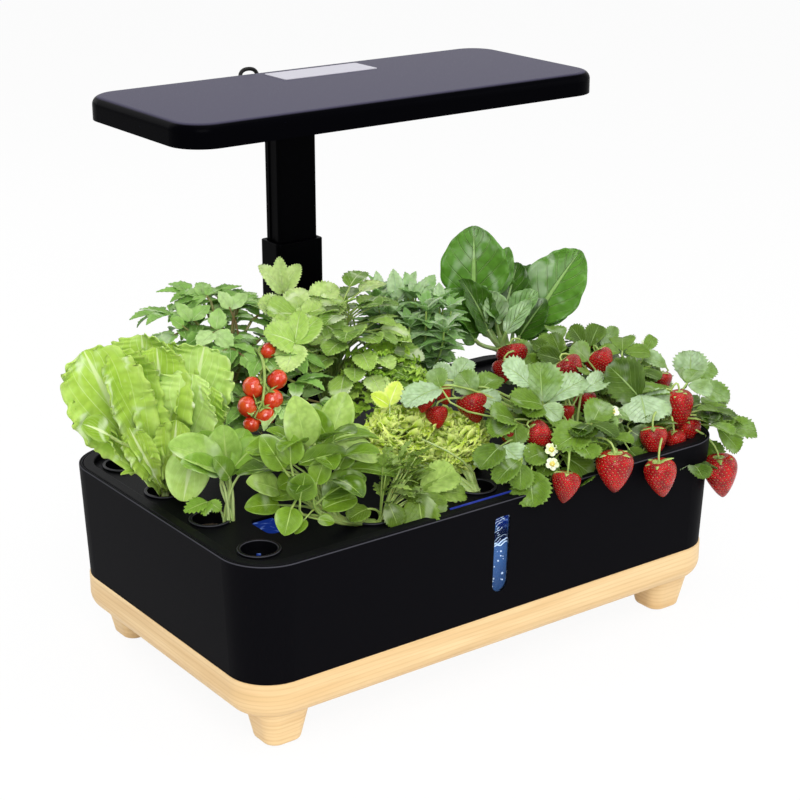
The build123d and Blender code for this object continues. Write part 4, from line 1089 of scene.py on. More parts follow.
class Basil(Plant):
    """A leaning bush of glossy oval leaves, with a tuft of young celery in front that shares the pod."""

    label = "basil"
    slot = "bright_leaf"
    dress = {"leaves": "basil_skin", "stems": "green_stem", "celery": "celery_skin"}
    pod = 5
    arch = ((-26.0, -4.0, 10.0), (-52.0, -8.0, 13.0), (-50.0, -6.0, 32.0))
    shown = [((-162.0, -64.5, 148.0), 17.0), ((-148.0, -104.0, 162.0), 16.0), ((-196.0, -98.0, 148.0), 15.0)]
    oval_rows: list[Row] = [
        ((-151, -92, 213), (-158, -88, 253), 27, 0.05), ((-125, -84, 210), (-108, -80, 243), 25, 0.1),
        ((-126, -84, 211), (-136, -78, 236), 16, 0.35), ((-125, -88, 212), (-95, -92, 213), 16, 0.1),
        ((-129, -92, 212), (-97, -104, 195), 20, 0), ((-160, -76, 211), (-189, -72, 213), 18, 0.35),
        ((-154, -76, 195), (-186, -72, 210), 20, 0.1), ((-168, -98, 206), (-163, -90, 226), 20, 0.5),
        ((-164, -102, 207), (-123, -104, 207), 17, 0.75), ((-162, -74, 177), (-188, -70, 189), 20, 0.1),
        ((-152, -80, 186), (-165, -76, 181), 16, 0.45), ((-156, -112, 193), (-147, -112, 212), 17, 0.35),
        ((-163, -74, 166), (-190, -70, 169), 18, 0.45), ((-177, -112, 181), (-191, -124, 167), 20, 0.5),
        ((-136, -80, 174), (-170, -76, 173), 16, 0.25), ((-148, -108, 179), (-112, -110, 188), 23, 0.85),
        ((-151, -112, 173), (-124, -116, 176), 20, 0.55), ((-119, -98, 192), (-80, -104, 178), 14, 0.6),
        ((-170, -112, 184), (-166, -114, 205), 22, 0.7), ((-129, -100, 194), (-114, -96, 207), 18, 0.6),
        ((-171, -94, 202), (-183, -84, 228), 20, 0.55), ((-134, -84, 204), (-118, -74, 223), 20, 0.6),
    ]
    sprout_rows: list[Row] = [
        ((-158, -116, 168), (-149, -124, 166), 10, 0.4), ((-169, -116, 171), (-181, -122, 165), 11, 0.4),
        ((-92, -92, 190), (-66, -94, 182), 10, 0),
    ]
    feathers: int = 64
    feather_room: tuple[Pair, ...] = ((-80, 17), (-106, 8), (177, 16))
    celery_rows: list[Row] = [
        ((-63, -112, 166), (-31, -112, 174), 26, 0.05), ((-65, -114, 166), (-28, -120, 157), 20, 0.25),
        ((-69, -116, 166), (-76, -132, 142), 28, 0.35), ((-66, -116, 165), (-57, -129, 149), 21, 0.45),
        ((-108, -108, 161), (-130, -114, 160), 16, 0.5), ((-93, -112, 163), (-92, -122, 148), 17, 0.65),
    ]

    def shape(self) -> None:
        """Model the basil's ovals, then the celery's toothed leaves and its feathery filling."""
        oval = Blade(widest=0.46, foot=0.6, tip=0.62, neck=0.05, cup=0.16, pleat=0.005, pleats=5, across=10,
                     along=20, thickness=0.012).model()
        toothed = Blade(widest=0.6, foot=0.6, tip=0.36, teeth=0.06, tooth_rows=3, pleat=0.02, cup=0.1, along=27,
                        thickness=0.012).model()
        feather = Blade(widest=0.5, foot=0.7, tip=0.8, lobes=4, lobe_depth=0.6, teeth=0.05, across=6, along=22,
                        thickness=0.014).model()
        self.leaves(oval, self.oval_rows, droop=30, roll=12, stalk=(1.6, 0.9))
        self.leaves(oval, self.sprout_rows, stalk=(1.0, 0.6))
        self.canopy(oval, 16, (-142, -90, 222), (28, 24), 34, size=(30, 20), tints=(0.45, 1.0), rise=(55, 10))
        self.arch = ((6.0, -4.0, 10.0),)
        self.crown = (3.0, -6.0, -6.0)
        self.leaves(toothed, self.celery_rows, droop=26, stalk=(1.2, 0.8), group="celery")
        root = self.point(*self.crown)
        for k in range(self.feathers):
            foot = Vector([self.about(*ends) for ends in self.feather_room])
            ahead = (foot - root).normalized()
            heading = math.degrees(math.atan2(ahead.y, ahead.x)) + self.about(0, 60)
            frame = heading_frame(heading, math.degrees(math.asin(ahead.z)) * self.dice.uniform(0.2, 0.9))
            self.leaf("celery", feather, foot, frame, self.about(16, 3), self.about(9, 2),
                      self.about(36, 20), 8, self.about(0, 20), self.dice.uniform(0, 0.7))
            if k % 3 == 0:
                self.stem("stems", [root, root.lerp(foot, 0.4) + Vector((0, 0, 6)), foot], 0.8, 0.5, 7)


class CurlyLettuce(Plant):
    """Two low domes of tightly frilled yellow-green lettuce."""

    label = "curly_lettuce"
    slot = "lettuce_leaf"
    dress = {"leaves": "curly_skin", "stems": "pale_stem"}
    pod = 6
    domes: list[tuple[Point, Point, int]] = [
        ((-36, -46, 177), (29, 23, 27), 84),
        ((12, -56, 167), (23, 20, 23), 72),
        ((-16, -58, 160), (16, 14, 14), 26),
    ]
    sprout_rows: list[Row] = [
        ((-46, -48, 210), (-34, -44, 226), 15, 0.2), ((-46, -48, 210), (-60, -44, 221), 13, 0.3),
    ]

    def shape(self) -> None:
        """Model the domes of tightly frilled leaves, each on its own short stem from one root."""
        frilled = Blade(widest=0.7, foot=0.7, tip=0.3, neck=0.2, ruffle=0.16, waves=2.2, frill=0.15, frills=7,
                        wild=1.0, flare=0.12, crowd=1.4, across=6, along=34, thickness=0.03).model()
        toothed = Blade(widest=0.5, foot=0.7, tip=0.6, teeth=0.08, pleat=0.02, along=18, across=6, cup=0.1,
                        thickness=0.016).model()
        for middle, reach, count in self.domes:
            for k in range(count):
                heading = GOLDEN_TURN * k
                level = 1 - 1.5 * (k + 0.5) / count
                ring = math.sqrt(1 - level * level)
                out = ring_offset(heading, reach[0] * ring, reach[1] * ring, reach[2] * level)
                foot = Vector(middle) + out * self.about(0.5, 0.08)
                rise = math.degrees(math.asin(level)) + self.about(0, 12)
                frame = heading_frame(heading, rise, self.about(0, 50))
                self.leaf("leaves", frilled, foot, frame, self.about(15, 2), self.about(21, 3),
                          self.about(30, 16), 3, self.about(0, 24), self.dice.uniform(0.0, 0.9))
            for _ in range(4):
                lift = Vector(middle) + Vector((self.about(0, 6), self.about(0, 6), -4))
                low = self.point(self.about(0, 5), self.about(2, 5), -6)
                self.stem("stems", [low, low.lerp(lift, 0.35) + Vector((0, 0, 5)), lift], 2.4, 1.5, 7)
        self.leaves(toothed, self.sprout_rows, stalk=(1.0, 0.6))


class Chard(Plant):
    """Tall dark leaves with pale ribs."""

    label = "chard"
    slot = "dark_leaf"
    dress = {"leaves": "chard_skin", "stems": "chard_stem"}
    pod = 11
    tall_rows: list[Row] = [
        ((151, 98, 222), (157, 106, 288), 60, 0.35), ((218, 96, 192), (262, 84, 254), 56, 0.4),
        ((222, 92, 185), (262, 80, 218), 22, 0.3), ((183, 104, 222), (198, 108, 262), 22, 0.25),
        ((169, 88, 203), (154, 80, 236), 26, 0), ((180, 88, 190), (204, 82, 218), 18, 0),
        ((152, 92, 200), (106, 90, 240), 34, 0.55), ((146, 88, 190), (112, 84, 226), 28, 0.7),
        ((160, 88, 196), (126, 84, 250), 30, 0.8), ((182, 98, 202), (142, 88, 236), 30, 0.12),
        ((192, 96, 200), (213, 84, 224), 26, 0.15), ((205, 100, 176), (252, 104, 204), 30, 0.75),
        ((175, 104, 191), (146, 110, 240), 40, 0.8), ((188, 106, 187), (214, 114, 244), 42, 0.85),
        ((198, 112, 186), (182, 126, 246), 44, 0.7), ((206, 108, 184), (240, 122, 236), 40, 0.8),
        ((192, 112, 182), (156, 124, 226), 38, 0.75), ((202, 96, 180), (226, 88, 214), 30, 0.85),
    ]

    def shape(self) -> None:
        """Model the leaves on their thick stalks."""
        tall = Blade(widest=0.42, foot=0.6, tip=0.62, neck=0.07, ruffle=0.026, waves=2.6, pleat=0.016,
                     pleats=7.5, cup=0.14, across=14, along=36, thickness=0.008).model()
        self.leaves(tall, self.tall_rows, stalk=(3.0, 1.7))


class Mint(Plant):
    """Upright square stems with crossed pairs of narrow blue-green leaves."""

    label = "mint"
    slot = "mint_leaf"
    dress = {"leaves": "mint_skin", "stems": "green_stem"}
    pod = 12
    shoots: int = 17
    tuft: tuple[float, ...] = (7, 51, 19, 52, 16, 0.5)
    whorl: tuple[float, ...] = (4, 90, 22, 18, 14, 0.9)
    top_rows: list[Row] = [
        ((58, 84, 244), (57, 88, 270), 15, 0), ((78, 88, 240), (72, 92, 264), 14, 0.1),
        ((84, 88, 238), (104, 92, 256), 14, 0.2),
    ]

    def shape(self) -> None:
        """Model the stems with their whorls and top tufts.

        A whorl or tuft is given by its count of leaves, the turn between them, their length, their rise and
        its play, and its deepest tone.
        """
        lance = Blade(widest=0.42, foot=0.7, tip=0.8, neck=0.08, teeth=0.05, pleat=0.015, cup=0.12, across=4,
                      along=16, thickness=0.012).model()
        self.leaves(lance, self.top_rows, stalk=(1.2, 0.8))
        for k in range(self.shoots):
            heading = GOLDEN_TURN * k
            way = math.radians(heading)
            out = 5 + 10.2 * math.sqrt(k)
            x = -33 + min(out, 23) * math.cos(way)
            y = -29 + min(out * 1.25, 50) * math.sin(way)
            tall = self.about(100, 10) - 0.42 * out
            base = self.point(self.about(0, 5), self.about(0, 5), -6)
            top = self.point(x, y, tall)
            bow = [self.point(x * share, y * share, tall * up) for share, up in ((0.5, 0.4), (0.95, 0.7))]
            line = [base, *bow, top]
            self.stem("stems", line, 1.3, 0.8)
            places = curve_through(line)[3:]
            for level, spot in enumerate(places):
                last = level == len(places) - 1
                count, step, long, lift, play, deepest = self.tuft if last else self.whorl
                for turn in range(count):
                    way_out = heading + level * 45 + turn * step
                    size = long * self.about(1, 0.12)
                    rise = self.about(lift, play)
                    self.leaf("leaves", lance, spot, heading_frame(way_out, rise), size, size * 0.46,
                              self.about(30, 15), 8, self.about(0, 12), self.dice.uniform(0, deepest))


class LemonBalm(Plant):
    """Pale toothed leaves in front of the mast, over a cushion of curled parsley that shares the pod."""

    label = "lemon_balm"
    slot = "bright_leaf"
    dress = {"leaves": "balm_skin", "stems": "green_stem", "parsley": "parsley_skin"}
    pod = 13
    cushion_stems: int = 16
    big_rows: list[Row] = [
        ((-42, 90, 262), (-46, 92, 268), 8, 0.2), ((-42, 82, 252), (-45, 80, 266), 18, 0.05),
        ((-44, 78, 250), (-80, 68, 260), 34, 0.5), ((-73, 40, 242), (-103, 38, 257), 28, 0.3),
        ((-73, 40, 242), (-47, 44, 257), 25, 0.45), ((-74, 38, 242), (-95, 20, 228), 26, 0.1),
        ((-72, 41, 243), (-62, 48, 265), 20, 0.3), ((-34, 60, 247), (-17, 50, 229), 25, 0.75),
        ((-29, 84, 256), (-2, 84, 266), 24, 0.1), ((-25, 76, 252), (-1, 76, 256), 24, 0.15),
        ((-56, 84, 252), (-78, 86, 264), 26, 0.1), ((-46, 70, 252), (-26, 68, 256), 22, 0.2),
        ((-60, 60, 248), (-84, 56, 252), 24, 0.4), ((-50, 84, 250), (-32, 88, 268), 24, 0),
        ((-31, 122, 257), (-55, 120, 284), 17, 0.02), ((-31, 122, 257), (-16, 118, 279), 17, 0.05),
        ((-31, 122, 257), (-34, 121, 288), 15, 0),
    ]

    def shape(self) -> None:
        """Model the big toothed leaves, smaller ones between them and the curled cushion."""
        toothed = Blade(widest=0.44, foot=0.55, tip=0.58, neck=0.1, teeth=0.08, pleat=0.022, cup=0.08, along=24,
                        thickness=0.012).model()
        curled = Blade(widest=0.6, foot=0.6, tip=0.45, lobes=4, lobe_depth=0.45, ruffle=0.1, waves=3.2,
                       frill=0.05, frills=9, along=26, thickness=0.014).model()
        self.leaves(toothed, self.big_rows, droop=28, fold=5, roll=10, stalk=(1.3, 0.8))
        self.canopy(toothed, 66, (-3, 67, 262), (38, 50), 64, size=(25, 21), tints=(0.05, 0.95), rise=(40, -6))
        self.canopy(curled, 66, (10, 36, 218), (28, 28), 46, size=(19, 18), tints=(0.1, 0.9), rise=(60, 0),
                    group="parsley", stalk=None)
        for k in range(self.cushion_stems):
            way = math.radians(GOLDEN_TURN * k)
            out = 6.5 * math.sqrt(k)
            top = self.point(10 + out * math.cos(way), -66 + out * math.sin(way), 46)
            self.stem("stems", [self.point(0, 0, -6), self.point(4, -30, 20), top], 1.1, 0.6, 7)


class Tomato(Plant):
    """A young tomato plant with pointed leaflets and a truss of small red fruit."""

    label = "tomato"
    slot = "tomato_leaf"
    dress = {"leaves": "tomato_skin", "stems": "red_stem", "trusses": "green_stem",
             "fruit": "tomato_fruit_skin"}
    pod = 14
    leaflet_rows: list[Row] = [
        ((-140, 96, 254), (-150, 100, 262), 11, 0.3), ((-132, 98, 257), (-142, 104, 272), 12, 0.15),
        ((-132, 98, 257), (-112, 102, 265), 15, 0.2), ((-128, 70, 254), (-148, 62, 247), 18, 0),
        ((-127, 70, 254), (-117, 60, 241), 18, 0.05), ((-125, 72, 255), (-118, 78, 270), 16, 0.2),
        ((-96, 98, 260), (-102, 106, 274), 13, 0.05), ((-96, 98, 260), (-76, 104, 268), 13, 0.05),
        ((-130, 84, 248), (-148, 80, 244), 15, 0.7), ((-128, 56, 243), (-146, 48, 240), 15, 0.6),
        ((-118, 46, 240), (-112, 38, 230), 15, 0.6),
    ]
    room: Pair = (44.0, 84.0)
    arms: list[Point] = [
        (168, 62, 104), (148, 44, 116), (124, 60, 110), (96, 50, 122), (70, 48, 118), (40, 40, 112),
        (12, 40, 104), (-16, 42, 92), (-48, 52, 84), (-74, 70, 70), (-96, 88, 62), (-112, 72, 58),
        (-134, 60, 66), (-160, 48, 82), (190, 50, 92), (110, 22, 124), (20, 20, 118), (-90, 50, 92),
        (-120, 36, 100), (60, 66, 96), (-80, 96, 40), (-104, 92, 36), (-60, 80, 48), (210, 44, 60),
        (150, 52, 74),
    ]
    fruit: list[tuple[float, float, float, float]] = [
        (-125, 20, 222, 8.6), (-103, 20, 224, 8.2), (-112, 14, 211, 9.0), (-134, 14, 210, 8.2),
        (-122, 8, 202, 8.0), (-134, 9, 197, 6.4), (-98, 40, 241, 6.5), (-114, 32, 217, 8.0),
    ]
    spine: list[Point] = [(-98, 66, 236), (-104, 34, 246), (-116, 14, 232), (-124, 8, 214)]

    def shape(self) -> None:
        """Model the compound leaves on arching stems, given by heading, reach and height, then the fruit."""
        leaflet = Blade(widest=0.4, foot=0.6, tip=0.85, neck=0.06, lobes=3, lobe_depth=0.16, teeth=0.05,
                        pleat=0.016, cup=0.1, across=6, thickness=0.012).model()
        self.leaves(leaflet, self.leaflet_rows, droop=26, roll=10, stalk=(1.2, 0.7))
        for heading, out, tall in self.arms:
            way = math.radians(heading)
            wide, deep = self.room
            reach = min(out, wide / max(abs(math.cos(way)), 0.2), deep / max(abs(math.sin(way)), 0.2))
            middle = Vector((-2, -8, 0)) if out > 30 else Vector((0, 0, 0))
            x, y = reach * math.cos(way) + middle.x, reach * math.sin(way) + middle.y
            line = [self.point(0, 0, -6), self.point(x * 0.1, y * 0.1, tall * 0.6),
                    self.point(x * 0.55, y * 0.55, tall * 1.05), self.point(x, y, tall * 0.92)]
            self.stem("stems", line, 1.8, 0.9)
            for level, spot in enumerate(curve_through(line)[3:]):
                last = level == 5
                for turn in (0, 50, -50) if last else (80, -80):
                    size = self.about(27 if last else 22, 4)
                    self.leaf("leaves", leaflet, spot, heading_frame(heading + turn, self.about(8, 18)), size,
                              size * 0.56, self.about(36, 16), 8, self.about(0, 14), self.dice.uniform(0, 0.8))
        self.truss()

    def truss(self) -> None:
        """Model the cherry tomatoes, each with its calyx and its stalk to the truss's spine."""
        sepal = Blade(widest=0.3, foot=0.6, tip=1.0, neck=0.1, across=2, along=6, thickness=0.05).model()
        bpy.ops.mesh.primitive_uv_sphere_add(segments=24, ring_count=16, radius=1.0)
        ball = bpy.context.object
        edit(ball)
        bpy.ops.transform.resize(value=(1, 1, 0.92))
        leave_edit()
        rows = points_of(ball.data)
        reach = np.hypot(rows[:, 0], rows[:, 1])
        rows[:, 2] -= 0.16 * np.exp(-((reach / 0.28) ** 2)) * (rows[:, 2] > 0)
        put_points(ball.data, rows)
        skin = take_mesh(ball)
        self.stem("trusses", self.spine, 1.6, 1.0)
        joints = curve_through(self.spine)
        for x, y, z, radius in self.fruit:
            middle = Vector((x, y, z))
            near = min(joints, key=lambda spot: (spot - middle - Vector((0, 0, 10))).length)
            up = (near - middle).normalized()
            if up.z < 0.2:
                up = Vector((up.x, up.y, 0.5)).normalized()
            turn = up.to_track_quat("Z", "Y").to_matrix()
            mesh = skin.copy()
            put_points(mesh, (points_of(mesh) * radius @ np.array(turn).T + np.array(middle)) * MM)
            self.keep("fruit", mesh)
            crown = middle + up * radius * 0.82
            self.stem("trusses", [crown, crown + up * 3, near], 0.8, 0.9, 6)
            for k in range(5):
                frame = turned(turned(turn, 72 * k), 20, "X")
                self.leaf("trusses", sepal, crown, frame, radius * 0.95, 3.0, 30, tint=0.5)


@dataclass(frozen=True)
class Berry:
    """One strawberry: its middle, its radius and length, and where its tip points."""

    at: Point
    radius: float = 12.5
    length: float = 29.0
    lean: Point = (0.0, -0.2, -1.0)


class Strawberry(Plant):
    """A strawberry plant with three-part toothed leaves, berries, flowers and stalks."""

    slot = "strawberry_leaf"
    dress = {"leaves": "strawberry_leaf_skin", "stems": "green_stem", "calyxes": "green_stem",
             "berries": "strawberry_skin", "petals": "petal_skin", "eyes": "flower_eye_skin"}
    rows: list[Row] = []
    berries: list[Berry] = []
    flowers: list[Point] = []
    filling: int = 24
    middle: Point = (0.0, 0.0, 200.0)
    spread: Pair = (40.0, 22.0)
    drop: float = 38.0
    leaflets: tuple[Pair, ...] = ((0, 1.0), (82, 0.9), (-82, 0.9))
    patterns: dict[str, bpy.types.Mesh] = {}

    @classmethod
    def pattern(cls, name: str) -> bpy.types.Mesh:
        """The shared leaflet, sepal, petal or berry that all these plants copy."""
        if not cls.patterns:
            cls.patterns["leaflet"] = Blade(widest=0.6, foot=0.78, tip=0.38, neck=0.06, teeth=0.085, pleat=0.02,
                                            pleats=7, cup=0.12, along=19, thickness=0.012).model()
            cls.patterns["sepal"] = Blade(widest=0.4, foot=0.6, tip=0.9, neck=0.25, across=2, along=6,
                                          thickness=0.05).model()
            cls.patterns["petal"] = Blade(widest=0.62, foot=0.7, tip=0.4, neck=0.15, cup=0.3, across=4, along=6,
                                          thickness=0.05).model()
            cls.patterns["berry"] = cls.model_berry()
            cls.patterns["eye"] = cls.model_eye()
        return cls.patterns[name]

    @staticmethod
    def model_berry() -> bpy.types.Mesh:
        """A berry one unit long and two wide, shoulders up, from a sphere drawn out to a point."""
        bpy.ops.mesh.primitive_uv_sphere_add(segments=28, ring_count=20, radius=1.0)
        piece = bpy.context.object
        edit(piece)
        bpy.ops.transform.resize(value=(1, 1, 0.5))
        leave_edit()
        rows = points_of(piece.data)
        level = np.clip(rows[:, 2] + 0.5, 0, 1)
        reach = np.hypot(rows[:, 0], rows[:, 1])
        wanted = level**0.66 * (1 - level**4.2) ** 0.45
        wanted /= wanted.max()
        scale = np.where(reach > 1e-6, wanted / np.maximum(reach, 1e-6), 0)
        rows[:, :2] *= scale[:, None]
        rows[:, 2] -= 0.09 * np.exp(-((np.hypot(rows[:, 0], rows[:, 1]) / 0.35) ** 2)) * (level > 0.5)
        put_points(piece.data, rows)
        return take_mesh(piece)

    @staticmethod
    def model_eye() -> bpy.types.Mesh:
        """A flower's domed eye, one unit in radius."""
        bpy.ops.mesh.primitive_ico_sphere_add(subdivisions=2, radius=1.0)
        piece = bpy.context.object
        edit(piece)
        bpy.ops.transform.resize(value=(1, 1, 0.6))
        leave_edit()
        rows = points_of(piece.data)
        rows *= 1 + 0.12 * np.sin(11 * rows[:, :1]) * np.cos(13 * rows[:, 1:2])
        put_points(piece.data, rows)
        return take_mesh(piece)

    def trifoliate(self, foot: Vector, frame: Matrix, size: float, tint: float) -> None:
        """Model one leaf of three leaflets with its stalk."""
        for turn, share in self.leaflets:
            way = turned(frame, turn)
            long = size * share * self.about(1, 0.06)
            if self.covers(foot + way @ Vector((0, long * 0.55, 0)), long * 0.36):
                continue
            self.leaf("leaves", self.pattern("leaflet"), foot + way @ Vector((0, 2.0, 0)), way, long,
                      long * self.about(0.88, 0.05), self.about(24, 12), self.about(7, 4), self.about(0, 10),
                      min(1.0, max(0.0, self.about(tint, 0.15))))
            if turn == 0:
                self.stalk(foot, frame @ Vector((0, 1, 0)), 1.1, 0.75)

    def berry(self, berry: Berry) -> None:
        """Model one berry with its calyx and stalk."""
        mesh = self.pattern("berry").copy()
        down = Vector(berry.lean).normalized()
        spin = Matrix.Rotation(self.dice.uniform(0, 6.28), 3, "Z")
        turn = (-down).to_track_quat("Z", "Y").to_matrix() @ spin
        rows = points_of(mesh) * (berry.radius * self.about(1, 0.04), berry.radius, berry.length)
        put_points(mesh, (rows @ np.array(turn).T + np.array(berry.at)) * MM)
        self.keep("berries", mesh)
        top = Vector(berry.at) - down * berry.length * 0.43
        for k in range(12):
            tilt = -10 if k % 2 else 12
            frame = turned(turned(turn, 30 * k), tilt, "X")
            self.leaf("calyxes", self.pattern("sepal"), top, frame, berry.radius * self.about(0.92, 0.15),
                      berry.radius * 0.36, self.about(46 - tilt, 16), tint=self.dice.uniform(0.1, 0.6))
        crown = self.point(self.about(0, 4), self.about(0, 4), -4)
        bow = top.lerp(crown, 0.3)
        bow.z = max(crown.z, top.z) + 16
        self.stem("stems", [top, top - down * 12, bow, crown + Vector((0, 0, 20)), crown], 0.8, 1.2, 11)

    def flower(self, spot: Point) -> None:
        """Model one small white flower with its yellow eye."""
        middle = Vector(spot)
        frame = heading_frame(self.about(-125, 20), self.about(-50, 8))
        for k in range(5):
            self.leaf("petals", self.pattern("petal"), middle, turned(frame, 72 * k), 5.4, 4.8, 10, tint=0.2)
        eye = self.pattern("eye").copy()
        put_points(eye, (points_of(eye) * 2.4 @ np.array(frame).T + np.array(middle)) * MM)
        self.keep("eyes", eye)
        crown = self.point(0, 0, -4)
        bow = crown.lerp(middle, 0.4) + Vector((0, 0, 26))
        behind = [middle - frame @ Vector((0, 0, gap)) for gap in (6, 1)]
        self.stem("stems", [crown, bow, *behind], 1.0, 0.6)

    def shape(self) -> None:
        """Model the placed leaflets, then a canopy that leaves the berries in view, the berries and flowers."""
        kinds = Strawberry.__subclasses__()
        self.shown = [(berry.at, 0.75 * berry.radius) for kind in kinds for berry in kind.berries]
        rows = [(foot, tip, 1.1 * width, tint) for foot, tip, width, tint in self.rows]
        self.leaves(self.pattern("leaflet"), rows, fold=7, roll=16, stalk=(1.1, 0.75))
        for k in range(self.filling):
            heading = GOLDEN_TURN * k + 30 * self.pod
            share = math.sqrt((k + 0.5) / self.filling)
            # Every third leaf sits lower and deeper in tone: the deeper tone is painted shade under the canopy.
            low, tone = (18, 0.65) if k % 3 == 0 else (0, 0.2)
            foot = Vector(self.middle) + ring_offset(heading, self.spread[0] * share, self.spread[1] * share,
                                                     -self.drop * self.about(share**2, 0.15) - 6 - low)
            frame = heading_frame(heading, self.about(26 - 34 * share, 12))
            self.trifoliate(foot, frame, self.about(24, 3), self.dice.uniform(tone, 1.0))
        for berry in self.berries:
            self.berry(berry)
        for spot in self.flowers:
            self.flower(spot)


class FrontStrawberry(Strawberry):
    """The plant over the front rim."""

    label = "strawberry_front"
    pod = 7
    middle = (88, -94, 208)
    spread = (38.0, 44.0)
    drop = 36.0
    filling = 27
    rows = [
        ((23, -66, 210), (15, -56, 226), 20, 0.25), ((23, -66, 210), (51, -60, 217), 20, 0.3),
        ((22, -68, 210), (39, -78, 202), 16, 0.05), ((-6, -60, 219), (-49, -72, 217), 21, 0),
        ((13, -52, 217), (34, -44, 230), 16, 0.05), ((13, -52, 217), (0, -44, 232), 15, 0.05),
        ((-6, -60, 219), (-4, -50, 232), 16, 0.25), ((70, -92, 200), (73, -84, 231), 32, 0.2),
        ((63, -84, 214), (40, -78, 234), 22, 0), ((75, -92, 200), (115, -90, 210), 22, 0.05),
        ((112, -90, 200), (141, -86, 206), 15, 0.05), ((69, -94, 199), (34, -96, 211), 20, 0.5),
        ((67, -96, 200), (76, -107, 190), 17, 0.1), ((64, -96, 200), (43, -105, 199), 19, 0.55),
        ((96, -118, 181), (119, -108, 196), 22, 0.35), ((94, -120, 182), (53, -128, 178), 26, 0.35),
        ((93, -120, 180), (75, -133, 166), 20, 0.45), ((95, -120, 181), (96, -129, 170), 14, 0),
        ((37, -98, 194), (11, -100, 206), 20, 0.5), ((37, -98, 194), (7, -107, 191), 19, 0.4),
        ((37, -98, 193), (30, -109, 180), 19, 0.55), ((14, -110, 183), (-16, -122, 175), 22, 0.7),
        ((14, -112, 183), (27, -123, 168), 22, 0.05), ((22, -124, 171), (10, -138, 157), 19, 0.6),
        ((27, -130, 166), (16, -147, 145), 29, 0.5), ((52, -118, 172), (26, -124, 173), 18, 0.55),
        ((67, -120, 166), (85, -135, 150), 22, 0.6), ((62, -116, 166), (37, -131, 160), 18, 0.7),
        ((22, -122, 173), (-10, -134, 166), 18, 0.6), ((105, -120, 157), (120, -129, 149), 18, 0.7),
    ]
    berries = [
        Berry((43, -152, 156), 10.8, 25, (-0.25, -0.1, -1.0)),
        Berry((92, -153, 157), 14.4, 34, (0.0, -0.05, -1.0)),
        Berry((53, -112, 183), 10.0, 26, (0.62, -0.5, -0.5)),
        Berry((29, -100, 183), 5.4, 12),
        Berry((22, -66, 199), 12.4, 25, (0.1, -0.4, -1.0)),
        Berry((-9, -60, 196), 9.2, 18, (-0.2, -0.5, -1.0)),
        Berry((-20, -58, 210), 7.6, 17, (-0.5, -0.3, -0.8)),
        Berry((3, -52, 209), 7.7, 16, (0.2, -0.4, -0.8)),
        Berry((97, -90, 185), 6.7, 16),
        Berry((126, -80, 186), 9.0, 17),
    ]
    flowers = [(46, -133, 168), (50, -127, 177), (120, -114, 184), (128, -114, 181), (124, -114, 188)]


class CornerStrawberry(Strawberry):
    """The plant that hangs over the front right corner."""

    label = "strawberry_corner"
    pod = 8
    middle = (206, -106, 200)
    spread = (34.0, 34.0)
    drop = 40.0
    rows = [
        ((170, -96, 184), (141, -88, 216), 34, 0.85), ((169, -98, 188), (162, -113, 170), 38, 0),
        ((172, -98, 186), (193, -110, 174), 22, 0.05), ((139, -104, 175), (118, -112, 167), 21, 0.85),
        ((149, -108, 165), (157, -118, 158), 19, 0.9), ((136, -120, 156), (143, -128, 145), 16, 0.8),
        ((110, -116, 168), (116, -124, 159), 14, 0.6), ((222, -116, 141), (240, -124, 120), 19, 0.6),
        ((222, -116, 141), (203, -127, 128), 18, 0.7), ((224, -116, 140), (221, -127, 121), 16, 0.65),
        ((232, -124, 155), (270, -132, 144), 18, 0.3), ((232, -124, 155), (247, -136, 134), 18, 0.3),
        ((232, -122, 156), (246, -120, 164), 13, 0.5), ((150, -122, 150), (128, -132, 143), 17, 0.6),
        ((150, -122, 150), (160, -131, 140), 15, 0.5), ((199, -118, 139), (177, -129, 133), 16, 0.6),
        ((188, -104, 163), (162, -113, 161), 18, 0.75), ((225, -100, 156), (238, -107, 143), 16, 0.5),
    ]
    berries = [
        Berry((143, -152, 139), 13.0, 32, (0.12, -0.1, -1.0)),
        Berry((225, -138, 117), 14.4, 38, (0.12, -0.1, -1.0)),
        Berry((159, -126, 158), 11.2, 26, (0.0, -0.2, -1.0)),
        Berry((190, -120, 147), 8.9, 25, (0.1, -0.2, -1.0)),
        Berry((213, -112, 151), 11.5, 24, (0.3, -0.3, -0.8)),
        Berry((204, -108, 170), 11.4, 36, (0.0, -0.1, -1.0)),
    ]


class RightStrawberry(Strawberry):
    """The plant at the middle of the right side."""

    label = "strawberry_right"
    pod = 9
    middle = (206, -32, 204)
    drop = 32.0
    rows = [
        ((246, -76, 178), (250, -72, 203), 27, 0.05), ((246, -76, 178), (276, -76, 184), 14, 0.25),
        ((244, -76, 178), (232, -76, 188), 13, 0.4), ((248, -78, 176), (276, -94, 160), 18, 0.25),
        ((250, -44, 181), (230, -34, 192), 16, 0.15), ((241, -24, 192), (217, -18, 194), 16, 0),
        ((244, -22, 190), (260, -16, 199), 11, 0.3), ((236, -46, 180), (213, -52, 178), 17, 0.55),
        ((240, -60, 168), (220, -68, 165), 17, 0.5), ((213, -62, 167), (199, -56, 175), 17, 0.8),
        ((202, -40, 179), (192, -30, 190), 18, 0.6), ((168, -40, 190), (150, -50, 196), 20, 0.35),
        ((176, -26, 196), (168, -14, 208), 20, 0.3),
    ]
    berries = [
        Berry((243, -46, 169), 9.5, 18),
        Berry((191, -26, 191), 12.6, 25, (0.2, -0.5, -0.8)),
        Berry((152, -30, 192), 14.4, 26, (0.3, -0.5, -0.7)),
        Berry((141, -60, 175), 7.6, 15),
    ]
    flowers = [(250, -18, 194)]


